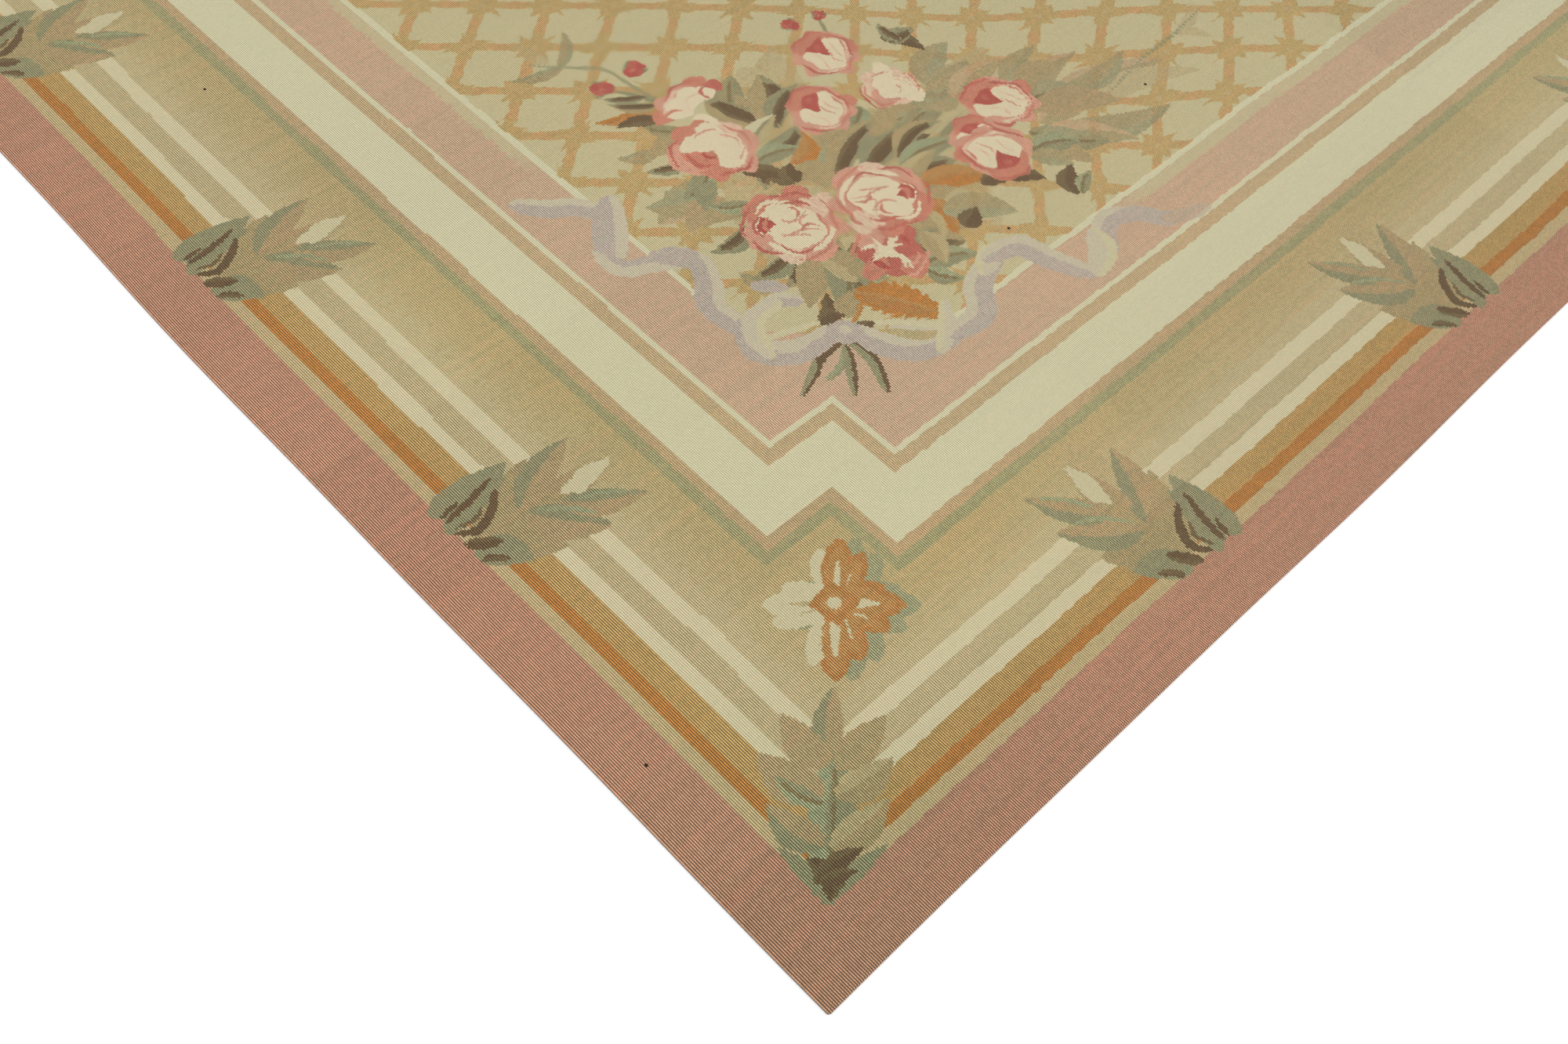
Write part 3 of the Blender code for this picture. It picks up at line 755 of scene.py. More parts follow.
def paint_rose(cartoon, rose):
    """Petals and shading as arcs and discs. An arc's half width narrows to nothing at its ends as a
    sine's root. The whole rose is ruffled: each direction moves by two sines of the other one."""
    patch = cartoon.around(rose.place, 1.25 * rose.radius)
    along, across = patch.turned(rose.place, math.radians(rose.turn))
    along = along / rose.radius
    across = across / rose.radius
    ruffled = along + ruffle(across, rose.turn, *RUFFLE_ALONG)
    across = across + ruffle(along, rose.turn, *RUFFLE_ACROSS)
    for arc in rose.arcs:
        a = ruffled - arc.along
        b = across - arc.across
        angle = np.degrees(np.arctan2(b, a))
        away = np.abs(np.hypot(a, b) - arc.radius)
        half = np.full(away.shape, arc.width / 2)
        share = ((angle - arc.start) % 360) / (arc.end - arc.start)
        if arc.end - arc.start < 360 and arc.width < arc.radius:
            half = half * np.sqrt(np.clip(np.sin(np.pi * np.clip(share, 0, 1)), 0, 1))
        patch.put((away <= half) & (share <= 1), arc.blend)


def paint_bud(cartoon, bud):
    """A few red petals, with a green sepal on each side."""
    turn = math.radians(bud.turn)
    tip = np.array([math.cos(turn), math.sin(turn)]) * bud.radius
    side = np.array([-tip[1], tip[0]])
    base = np.array(bud.place) - SEPAL_BASE * tip
    for lean in (-1, 1):
        end = np.array(bud.place) + SEPAL_TIP[0] * tip + SEPAL_TIP[1] * lean * side
        paint_leaf(cartoon, Leaf(tuple(base), tuple(end), bud.radius * SEPAL_WIDTH, 0, "green"))
    paint_rose(cartoon, Rose(bud.place, bud.radius, bud.turn, BUD_ARCS))


def paint_bouquet(cartoon):
    """From the back to the front: faded foliage, stems, leaves, buds, roses, the ribbon and its knot."""
    for leaf in FADED_SPRAY:
        paint_leaf(cartoon, leaf)
    for stem in STEMS:
        paint_stroke(cartoon, stem)
    for leaf in LEAVES:
        paint_leaf(cartoon, leaf, teeth=OAK_TEETH if leaf.tone == "oak" else 0)
    for bud in BUDS:
        paint_bud(cartoon, bud)
    for rose in ROSES:
        paint_rose(cartoon, rose)
    for run in RIBBON:
        paint_stroke(cartoon, run, taper=RIBBON_TAPER)
    patch = cartoon.around(KNOT_PLACE, 2 * KNOT_RADIUS)
    along, across = patch.turned(KNOT_PLACE, math.radians(KNOT_TURN))
    patch.put(np.hypot(along, KNOT_SQUEEZE * across) < KNOT_RADIUS, "lilac")
    light = np.hypot(along - KNOT_LIGHT_SHIFT, across) < KNOT_LIGHT_SHARE * KNOT_RADIUS
    patch.put(light, "pale_lilac")


def paint_cluster(cartoon, origin, inwards, towards_corner, spread):
    """A spray of leaves growing in from the rose band and leaning to the corner."""
    flip = inwards[0] * towards_corner[1] - inwards[1] * towards_corner[0]
    way_in = np.array(inwards)
    way_across = spread * np.array(towards_corner)

    def placed(place):
        return np.array(origin) + place[0] * way_in + place[1] * way_across

    for leaf in CLUSTER:
        moved = leaf._replace(base=placed(leaf.base), tip=placed(leaf.tip), bend=leaf.bend * flip)
        paint_leaf(cartoon, moved)
    for crescent in CLUSTER_CRESCENTS:
        paint_stroke(cartoon, crescent._replace(points=[placed(point) for point in crescent.points]))


def paint_lobe(cartoon, lobe, shift, thinner, blend):
    """A pointed lobe of the rosette, moved by a shift and inset from its outline. With s along it from 0
    to 1, its half width is the sine of pi times s to the power 1.1, to the power 0.6."""
    angle = math.radians(lobe.angle)
    middle = np.array(ROSETTE_PLACE) + shift
    reach = lobe.reach - LOBE_SHORTENING * thinner
    patch = cartoon.around(middle, lobe.reach + 0.02)
    along, across = patch.turned(middle, angle)
    s = along / reach
    half = (lobe.width / 2 - LOBE_THINNING * thinner) * np.sin(np.pi * np.clip(s, 0, 1) ** 1.1) ** 0.6
    patch.put((s > 0) & (s < 1) & (np.abs(across) < half), blend)


def paint_rosette(cartoon):
    """A four-petalled flower of pointed lobes. The shadow is the same lobes moved; those towards the
    rug's middle side are tan with a rust rim and a cream streak, the others cream."""
    for lobe in ROSETTE:
        paint_lobe(cartoon, lobe, np.array(ROSETTE_SHADOW), 0.0, "shadow")
    for lobe in ROSETTE:
        paint_lobe(cartoon, lobe, 0.0, 0.0, "rust" if lobe.tone == "tan" else "cream")
    for lobe in ROSETTE:
        if lobe.tone == "tan":
            paint_lobe(cartoon, lobe, 0.0, ROSETTE_RIM, "amber")
            paint_lobe(cartoon, lobe, 0.0, ROSETTE_LINING * ROSETTE_RIM, "cream")
        else:
            paint_lobe(cartoon, lobe, 0.0, ROSETTE_LINING * ROSETTE_RIM, "straw")
    patch = cartoon.around(ROSETTE_PLACE, 0.1)
    along, across = patch.turned(ROSETTE_PLACE, math.radians(ROSETTE_TURN))
    square = np.maximum(np.abs(along), np.abs(across))
    patch.put(square < ROSETTE_RING[1], "rust")
    patch.put(square < ROSETTE_RING[0], "amber")
    patch.put(np.hypot(along, across) < ROSETTE_BOSS, "cream")


def draw_cartoon():
    """The whole quarter: corner, rosette, clusters along both sides and the bouquet."""
    cartoon = Cartoon()
    for leaf in CORNER_LEAVES:
        paint_leaf(cartoon, leaf)
    paint_stroke(cartoon, CORNER_SPINE)
    for thorn in CORNER_THORNS:
        paint_leaf(cartoon, thorn)
    paint_rosette(cartoon)
    for v in LEFT_CLUSTERS:
        paint_cluster(cartoon, (CLUSTER_BASE, v), (1, 0), (0, -1), LEFT_SPREAD)
    for u in NEAR_CLUSTERS:
        paint_cluster(cartoon, (u, CLUSTER_BASE), (0, 1), (-1, 0), NEAR_SPREAD)
    paint_bouquet(cartoon)
    return cartoon.cells


def following(marks, axis):
    """For each place, the next marked place along the axis, or the axis's end."""
    size = marks.shape[axis]
    places = np.arange(size).reshape((-1, 1) if axis == 0 else (1, -1))
    found = np.flip(np.minimum.accumulate(np.flip(np.where(marks, places, size), axis), axis), axis)
    found = np.roll(found, -1, axis)
    found[(-1, slice(None)) if axis == 0 else (slice(None), -1)] = size
    return found


def blocks(cells, tile):
    """Rectangles of one blend: in each tile, neighbouring ribs that are alike go together, and each such
    group is cut where the blend changes along it. Gives low and high ribs and picks, and the blends."""
    across, along = tile
    unlike = cells[1:] != cells[:-1]
    rows = np.arange(0, cells.shape[1], along)
    new_group = np.zeros((cells.shape[0], len(rows)), bool)
    new_group[1:] = np.logical_or.reduceat(unlike, rows, axis=1)
    new_group[::across] = True
    new_group[1] = True
    new_run = np.ones(cells.shape, bool)
    new_run[:, 1:] = cells[:, 1:] != cells[:, :-1]
    new_run[:, ::along] = True
    new_run[:, 1:3] = True
    starts = new_run & np.repeat(new_group, along, axis=1)[:, : cells.shape[1]]
    low_rib, low_pick = np.nonzero(starts)
    high_rib = following(new_group, 0)[low_rib, low_pick // along]
    high_pick = following(new_run, 1)[low_rib, low_pick]
    return np.stack([low_rib, high_rib, low_pick, high_pick]), cells[low_rib, low_pick]


def mirrored(block, flip_ribs, flip_picks):
    """Blocks of a quarter, moved to another quarter by mirroring."""
    low_rib, high_rib, low_pick, high_pick = block
    if flip_ribs:
        low_rib, high_rib = 2 * HALF_RIBS - high_rib, 2 * HALF_RIBS - low_rib
    if flip_picks:
        low_pick, high_pick = 2 * HALF_PICKS - high_pick, 2 * HALF_PICKS - low_pick
    return np.stack([low_rib, high_rib, low_pick, high_pick])


def spans(first, last):
    """All whole numbers from each first to before each last, joined, and how many each gives."""
    counts = last - first
    starts = np.repeat(first - np.concatenate([[0], np.cumsum(counts)[:-1]]), counts)
    return starts + np.arange(counts.sum()), counts


def outlined(block, corners):
    """Polygons of the blocks that take every lattice corner on their sides, counter-clockwise.

    Corners are numbered in order of rib and then pick. A side's corners are a run in that order for
    sides along Y, and in the order of pick and then rib for sides along X.
    """
    low_rib, high_rib, low_pick, high_pick = block
    tall = 2 * HALF_PICKS + 1
    wide = 2 * HALF_RIBS + 1
    by_rib = corners[:, 0] * tall + corners[:, 1]
    by_pick_key = corners[:, 1] * wide + corners[:, 0]
    order = np.argsort(by_pick_key)
    by_pick = by_pick_key[order]

    def find(keys, rib, pick, across):
        return np.searchsorted(keys, pick * wide + rib if across else rib * tall + pick)

    near = (find(by_pick, low_rib, low_pick, True), find(by_pick, high_rib, low_pick, True), order, 1)
    right = (find(by_rib, high_rib, low_pick, False), find(by_rib, high_rib, high_pick, False), None, 1)
    far = (find(by_pick, low_rib, high_pick, True), find(by_pick, high_rib, high_pick, True), order, -1)
    left = (find(by_rib, low_rib, low_pick, False), find(by_rib, low_rib, high_pick, False), None, -1)
    sides = []
    totals = np.zeros(len(low_rib), int)
    for first, last, names, way in (near, right, far, left):
        numbers, counts = spans(first, last)
        if way < 0:
            starts = np.repeat(np.cumsum(counts) - counts, counts)
            within = np.arange(counts.sum()) - starts
            numbers = np.repeat(last, counts) - within
        sides.append((numbers if names is None else names[numbers], counts, totals.copy()))
        totals += counts
    loop_starts = np.cumsum(totals) - totals
    loops = np.empty(totals.sum(), int)
    for numbers, counts, offset in sides:
        starts = np.repeat(loop_starts + offset - (np.cumsum(counts) - counts), counts)
        loops[starts + np.arange(counts.sum())] = numbers
    return loops, loop_starts, totals


def stray(along, side_length, bow, power, waves):
    """How far a side lies in from its straight line: its bow times the sine's power, and its waves
    times the sine's root."""
    share = np.clip(np.sin(np.pi * along / side_length), 0, 1)
    ripple = sum(reach * np.cos(math.tau * (along - crest) / wave) for reach, wave, crest in waves)
    return bow * share**power + ripple * np.sqrt(share)


def laid(x, y, cloth):
    """Design places as they lie. Each side's stray fades over a border width inwards, and at the corners
    the square of the corner's radius is drawn into a quarter disc: with a and b the distances past its
    middle as shares, a becomes a times the root of 1 - b squared / 2, and b likewise."""
    long_side = (cloth.length, LONG_SIDE_BOW, LONG_SIDE_BOW_POWER, LONG_SIDE_WAVES)
    short_side = (cloth.width, SHORT_SIDE_BOW, SHORT_SIDE_BOW_POWER, SHORT_SIDE_WAVES)
    half_x = cloth.length / 2
    half_y = cloth.width / 2

    def rounded(near, other):
        past = np.clip(1 - near / CORNER_RADIUS, 0, 1)
        beside = np.clip(1 - other / CORNER_RADIUS, 0, 1)
        return CORNER_RADIUS * past * (1 - np.sqrt(1 - beside**2 / 2))

    from_x = half_x - np.abs(x)
    from_y = half_y - np.abs(y)
    shift_x = -np.sign(x) * rounded(from_x, from_y)
    shift_y = -np.sign(y) * rounded(from_y, from_x)
    for way in (-1, 1):
        fade_y = np.clip(1 - (half_y + way * y) / STRAY_FADE, 0, 1) ** 2
        fade_x = np.clip(1 - (half_x + way * x) / STRAY_FADE, 0, 1) ** 2
        shift_y = shift_y + way * fade_y * stray(half_x + way * x, *long_side)
        shift_x = shift_x + way * fade_x * stray(half_y + way * y, *short_side)
    return x + shift_x, y + shift_y


def surface_height(x, y, cloth):
    """Height of the upper side: the thickness, rounded down to EDGE_HEIGHT at the edges as a quarter
    circle, and swelling gently with two crossed sines of a quarter of SWELL each."""
    edge = np.minimum(cloth.length / 2 - np.abs(x), cloth.width / 2 - np.abs(y))
    rise = np.sqrt(1 - np.clip(1 - edge / EDGE_ROUND, 0, 1) ** 2)
    swell = 0.5
    for by_length, by_width, start in SWELL_WAVES:
        swell = swell + 0.25 * np.sin(by_length * x + by_width * y + start)
    return EDGE_HEIGHT + (cloth.thickness - EDGE_HEIGHT + SWELL * swell) * rise


def lattice_places(corners, cloth):
    """Corners' design places: a rib's number over HALF_RIBS, less 1, times half the length, and a pick's
    likewise along the width."""
    x = (corners[:, 0] / HALF_RIBS - 1) * cloth.length / 2
    y = (corners[:, 1] / HALF_PICKS - 1) * cloth.width / 2
    return x, y


def unique_corners(block):
    """The blocks' corners, each once, in order of rib and then pick."""
    low_rib, high_rib, low_pick, high_pick = block
    ribs = np.concatenate([low_rib, high_rib, high_rib, low_rib])
    picks = np.concatenate([low_pick, low_pick, high_pick, high_pick])
    tall = 2 * HALF_PICKS + 1
    keys = np.unique(ribs * tall + picks)
    return np.stack([keys // tall, keys % tall], axis=1)


def on_edge(corners):
    """Which corners lie on the rug's edge: those on a first or last rib or pick."""
    ribs, picks = corners.T
    return (ribs == 0) | (ribs == 2 * HALF_RIBS) | (picks == 0) | (picks == 2 * HALF_PICKS)


def around_edge(corners):
    """The edge corners' numbers in order around the rug, counter-clockwise from the near left one."""
    numbers = np.nonzero(on_edge(corners))[0]
    ribs, picks = corners[numbers].T
    wide = 2 * HALF_RIBS
    tall = 2 * HALF_PICKS
    way = np.select(
        [picks == 0, ribs == wide, picks == tall],
        [ribs, wide + picks, 2 * wide + tall - ribs],
        2 * wide + 2 * tall - picks,
    )
    return numbers[np.argsort(way)]


def woven_blocks():
    """All four quarters' blocks. The near left one is woven stitch by stitch, the others from every few
    ribs and picks, as COARSE_STEP says."""
    fine = draw_cartoon()
    coarse = fine[::COARSE_STEP, ::COARSE_STEP]
    tile = tuple(size // COARSE_STEP for size in FINE_TILE)
    parts = [blocks(fine, FINE_TILE)]
    block, blends = blocks(coarse, tile)
    for flip_ribs, flip_picks in ((True, False), (False, True), (True, True)):
        parts.append((mirrored(block * COARSE_STEP, flip_ribs, flip_picks), blends))
    return np.concatenate([part[0] for part in parts], axis=1), np.concatenate([part[1] for part in parts])


def under_lattice(edge_places):
    """The underside's large tiles, and their corners together with the edge's."""
    ribs = np.arange(0, 2 * HALF_RIBS, UNDER_TILE[0])
    picks = np.arange(0, 2 * HALF_PICKS, UNDER_TILE[1])
    low_rib, low_pick = (grid.ravel() for grid in np.meshgrid(ribs, picks, indexing="ij"))
    tiles = np.stack([low_rib, low_rib + UNDER_TILE[0], low_pick, low_pick + UNDER_TILE[1]])
    tall = 2 * HALF_PICKS + 1
    keys = np.unique(np.concatenate([unique_corners(tiles), edge_places]) @ (tall, 1))
    return tiles, np.stack([keys // tall, keys % tall], axis=1)


def baked_places(loom, cloth, upper_loops, lower_loops, edge_count):
    """Each polygon corner's place in the baked picture: the upper side first, and above it the
    underside and the edge as thin strips."""
    u = loom[:, 0] / cloth.length + 0.5
    v = loom[:, 1] / cloth.width + 0.5
    upper = np.stack([u[upper_loops], v[upper_loops] * UPPER_UV], axis=1)
    lower = np.stack([u[lower_loops], UNDER_UV[0] + UNDER_UV[1] * v[lower_loops]], axis=1)
    around = np.linspace(0, 1, edge_count + 1)
    wall_u = np.stack([around[1:], around[:-1], around[:-1], around[1:]], axis=1)
    wall_v = np.tile(np.repeat(WALL_UV, 2), (edge_count, 1))
    wall = np.stack([wall_u.ravel(), wall_v.ravel()], axis=1)
    return np.concatenate([upper, lower, wall])


def weave_mesh(cloth):
    """The closed cloth: blended rectangles above, large tiles below, and a wall between their rims."""
    block, blends = woven_blocks()
    upper = unique_corners(block)
    upper_loops, _, upper_totals = outlined(block, upper)
    edge = around_edge(upper)
    under, lower = under_lattice(upper[edge])
    lower_loops, lower_starts, lower_totals = outlined(under, lower)

    x, y = lattice_places(upper, cloth)
    x_low, y_low = lattice_places(lower, cloth)
    laid_x, laid_y = laid(x, y, cloth)
    inset_x = x_low * (1 - 2 * EDGE_TUCK / cloth.length)
    inset_y = y_low * (1 - 2 * EDGE_TUCK / cloth.width)
    low_x, low_y = laid(inset_x, inset_y, cloth)
    above = np.stack([laid_x, laid_y, surface_height(x, y, cloth)], axis=1)
    below = np.stack([low_x, low_y, np.zeros(len(low_x))], axis=1)
    points = np.concatenate([above, below])
    loom = np.concatenate([np.stack([x, y, 0 * x], axis=1), np.stack([x_low, y_low, 0 * x_low], axis=1)])

    # A polygon seen from below runs the other way, so its loops are read backwards
    last = np.repeat(lower_starts + lower_totals - 1, lower_totals)
    within = np.arange(lower_totals.sum()) - np.repeat(lower_starts, lower_totals)
    lower_loops = lower_loops[last - within] + len(upper)
    edge_low = around_edge(lower) + len(upper)
    walls = np.stack([np.roll(edge, -1), edge, edge_low, np.roll(edge_low, -1)], axis=1)
    loops = np.concatenate([upper_loops, lower_loops, walls.ravel()])
    totals = np.concatenate([upper_totals, lower_totals, np.full(len(walls), 4)])
    uv = baked_places(loom, cloth, upper_loops, lower_loops, len(edge))
    face_blends = np.concatenate([blends, np.zeros(len(totals) - len(blends), int)])
    return points, loops, totals, loom, uv, face_blends


def blend_colours():
    """Two colours for each blend, main yarn and fleck, with its cover and the fleck's share beside them."""
    main = [(0, 0, 0, 0)]
    fleck = [(0, 0, 0, 0)]
    for blend in BLENDS:
        main.append((*linear(*YARNS[blend.yarn]), blend.cover))
        fleck.append((*linear(*YARNS[blend.fleck]), blend.share))
    return np.array(main), np.array(fleck)


def add_attribute(mesh, name, kind, domain, field, values):
    """A value for each corner or face that the material reads."""
    made = mesh.attributes.new(name, kind, domain)
    made.data.foreach_set(field, values.astype(np.float32).ravel())


def make_rug(cloth):
    """The woven mesh as an object. Polygons with over four corners are cut into triangles, and faces
    that meet at more than SHARP_ANGLE make a sharp edge."""
    points, loops, totals, loom, uv, face_blends = weave_mesh(cloth)
    mesh = bpy.data.meshes.new("woven_rug")
    mesh.vertices.add(len(points))
    mesh.vertices.foreach_set("co", points.astype(np.float32).ravel())
    mesh.loops.add(len(loops))
    mesh.loops.foreach_set("vertex_index", loops.astype(np.int32))
    mesh.polygons.add(len(totals))
    mesh.polygons.foreach_set("loop_start", (np.cumsum(totals) - totals).astype(np.int32))
    mesh.update(calc_edges=True)
    main, fleck = blend_colours()
    add_attribute(mesh, "loom", "FLOAT_VECTOR", "POINT", "vector", loom)
    add_attribute(mesh, "yarn", "FLOAT_COLOR", "FACE", "color", main[face_blends])
    add_attribute(mesh, "fleck", "FLOAT_COLOR", "FACE", "color", fleck[face_blends])
    layer = mesh.uv_layers.new(name="OFBake")
    layer.data.foreach_set("uv", uv.astype(np.float32).ravel())
    shape = bmesh.new()
    shape.from_mesh(mesh)
    many_sided = [face for face in shape.faces if len(face.verts) > 4]
    bmesh.ops.triangulate(shape, faces=many_sided, ngon_method="BEAUTY")
    shape.to_mesh(mesh)
    shape.free()
    mesh.shade_smooth()
    mesh.set_sharp_from_angle(angle=math.radians(SHARP_ANGLE))
    if mesh.validate(verbose=False):
        raise RuntimeError("the woven mesh had faults that Blender had to mend")
    rug = bpy.data.objects.new("woven_rug", mesh)
    bpy.context.scene.collection.objects.link(rug)
    return rug


class Wire:
    """A value in a shader graph. Arithmetic and comparisons on it add Math nodes."""

    def __init__(self, graph, socket):
        self.graph = graph
        self.socket = socket

    def __add__(self, other):
        return self.graph.math("ADD", self, other)

    def __sub__(self, other):
        return self.graph.math("SUBTRACT", self, other)

    def __rsub__(self, other):
        return self.graph.math("SUBTRACT", other, self)

    def __mul__(self, other):
        return self.graph.math("MULTIPLY", self, other)

    def __truediv__(self, other):
        return self.graph.math("DIVIDE", self, other)

    def __gt__(self, other):
        return self.graph.math("GREATER_THAN", self, other)

    def __lt__(self, other):
        return self.graph.math("LESS_THAN", self, other)

    def __abs__(self):
        return self.graph.math("ABSOLUTE", self)

    def floor(self):
        return self.graph.math("FLOOR", self)


class Graph:
    """Short ways to add shader nodes to a tree and join them."""

    def __init__(self, tree):
        self.tree = tree

    def node(self, kind, **settings):
        made = self.tree.nodes.new(kind)
        for name, value in settings.items():
            setattr(made, name, value)
        return made

    def feed(self, socket, value):
        value = getattr(value, "socket", value)
        if isinstance(value, bpy.types.NodeSocket):
            self.tree.links.new(value, socket)
        elif hasattr(value, "__len__") and len(socket.default_value) == 4:
            socket.default_value = (*value[:3], 1.0)
        else:
            socket.default_value = value

    def filled(self, made, values, output=0):
        """A node's output, once its first inputs are fed."""
        for socket, value in zip(made.inputs, values):
            self.feed(socket, value)
        return Wire(self, made.outputs[output])

    def math(self, operation, *values):
        return self.filled(self.node("ShaderNodeMath", operation=operation), values)

    def vector(self, x, y, z=0.0):
        return self.filled(self.node("ShaderNodeCombineXYZ"), (x, y, z))

    def parts(self, kind, value):
        """The three parts that a separating node gives."""
        made = self.node(kind)
        self.feed(made.inputs[0], value)
        return [Wire(self, socket) for socket in made.outputs]

    def attribute(self, name, *outputs):
        made = self.node("ShaderNodeAttribute", attribute_name=name)
        return [Wire(self, made.outputs[output]) for output in outputs]

    def mix(self, share, first, second, blend_type="MIX"):
        made = self.node("ShaderNodeMix", data_type="RGBA", blend_type=blend_type)
        for place, value in ((0, share), (6, first), (7, second)):
            self.feed(made.inputs[place], value)
        return Wire(self, made.outputs[2])

    def noise(self, place, scale, detail=2.0, roughness=0.5):
        made = self.node("ShaderNodeTexNoise")
        settings = {"Vector": place, "Scale": scale, "Detail": detail, "Roughness": roughness}
        for name, value in settings.items():
            self.feed(made.inputs[name], value)
        return Wire(self, made.outputs["Fac"])

    def chance(self, kind, x, y, output="Value", seed=0.0):
        """An even random share for each whole place, of one of the CHANCES."""
        made = self.node("ShaderNodeTexWhiteNoise", noise_dimensions="3D")
        self.feed(made.inputs["Vector"], self.vector(x, y, CHANCES[kind] + seed))
        return Wire(self, made.outputs[output])

    def bands(self, value, *stops):
        """A colour that steps at each stop, where the value passes it. Stops are (place, colour)."""
        made = self.node("ShaderNodeValToRGB")
        made.color_ramp.interpolation = "CONSTANT"
        elements = made.color_ramp.elements
        while len(elements) > 1:
            elements.remove(elements[-1])
        elements[0].position = 0.0
        elements[0].color = (*stops[0][1], 1.0)
        for place, colour in stops[1:]:
            elements.new(place / RAMP_TOP).color = (*colour, 1.0)
        return self.filled(made, (value / RAMP_TOP,))

    def smooth(self, value, low, high):
        """0 below low, 1 above high, and a smooth step between."""
        made = self.node("ShaderNodeMapRange", interpolation_type="SMOOTHSTEP")
        return self.filled(made, (value, low, high, 0.0, 1.0))


def between(first, second, share):
    """A colour a share of the way from the first to the second."""
    return tuple(a + (b - a) * share for a, b in zip(first, second))


Stitch = namedtuple("Stitch", "x y rib pick within_rib picks middle_x middle_y mottle own")


def stitch_places(graph):
    """Each stitch's whole rib and pick numbers, its middle, the place within its rib, a mottle over a few
    stitches and a chance of its own."""
    (loom,) = graph.attribute("loom", "Vector")
    x, y, _ = graph.parts("ShaderNodeSeparateXYZ", loom)
    ribs = x / RIB
    picks = y / PICK
    rib = ribs.floor()
    pick = picks.floor()
    middle_x = (rib + 0.5) * RIB
    middle_y = (pick + 0.5) * PICK
    mottle = graph.noise(graph.vector(middle_x, middle_y), MOTTLE_SCALE)
    own = graph.chance("own", rib, (pick * 0.5).floor())
    return Stitch(x, y, rib, pick, graph.math("FRACT", ribs), picks, middle_x, middle_y, mottle, own)


def border_distances(graph, stitch):
    """Distances in from both sides in border widths, waving slowly and stepping a little every few ribs
    and picks, and from them the mitred distance and the notched one. Steps are longest along the ribs."""
    distances = []
    for middle, half, border, side in (
        (stitch.middle_x, LENGTH / 2, BORDER_U, STRIPE_EDGES[0]),
        (stitch.middle_y, WIDTH / 2, BORDER_V, STRIPE_EDGES[1]),
    ):
        few_ribs = (stitch.rib / side.ribs).floor()
        few_picks = (stitch.pick / side.picks).floor()
        step = (graph.chance("step", few_ribs, few_picks, seed=side.seed) - 0.5) * side.step
        place = graph.vector(stitch.middle_x + side.seed, stitch.middle_y + side.seed, side.seed)
        wave = (graph.noise(place, STRIPE_WAVE_SCALE, 1.0) - 0.5) * STRIPE_WAVE
        distances.append((half - abs(middle)) / border + (step + wave))
    u, v = distances
    mitred = graph.math("MINIMUM", u, v)
    notched = graph.math("MINIMUM", mitred, graph.math("MAXIMUM", u, v) - NOTCH)
    return u, v, mitred, notched


def stripes(graph, ground, stitch, u, v, mitred, notched):
    """The border's stripes, the notched bands and the inner rose band, each a step at its place. The
    wide ground's steps are hatched: every few picks stop at a place of their own."""
    fray = graph.chance("fray", 0.0, (stitch.pick / HATCH_PICKS).floor()) - 0.5
    outer = graph.bands(
        mitred,
        (0.0, ground.rose),
        (0.180, ground.straw),
        (0.214, ground.rust),
        (0.252, ground.ochre),
        (0.321, ground.cream),
        (0.366, ground.beige),
        (0.429, ground.cream),
        (0.480, ground.pale_beige),
    )
    faded = graph.bands(
        mitred + fray * GROUND_FRAY,
        (0.0, ground.pale_beige),
        (0.535, between(ground.pale_beige, ground.tan, 0.45)),
        (0.585, between(ground.pale_beige, ground.tan, 0.75)),
        (0.640, ground.tan),
    )
    outer = graph.mix(mitred > 0.520, outer, faded)
    middle = graph.bands(
        notched,
        (0.0, ground.green),
        (0.737, ground.pinkish_tan),
        (0.768, ground.pale_cream),
        (0.934, ground.tan_line),
        (0.975, ground.pale_cream),
    )
    inner = graph.bands(
        mitred, (0.0, ground.inner_rose), (SAGE_END, ground.pale_cream), (FIELD_START, ground.field)
    )
    inner = graph.mix(u + v < KNOT_LINE, inner, ground.inner_rose)
    beyond = graph.smooth(graph.math("MAXIMUM", u, v), *SAGE_REACH)
    strip = (mitred - SAGE_START + fray * SAGE_FRAY > 0.0) * (mitred < SAGE_END)
    inner = graph.mix(strip * beyond, inner, ground.sage)
    colour = graph.mix(notched > BAND_START, outer, middle)
    return graph.mix(notched > INNER_START, colour, inner)


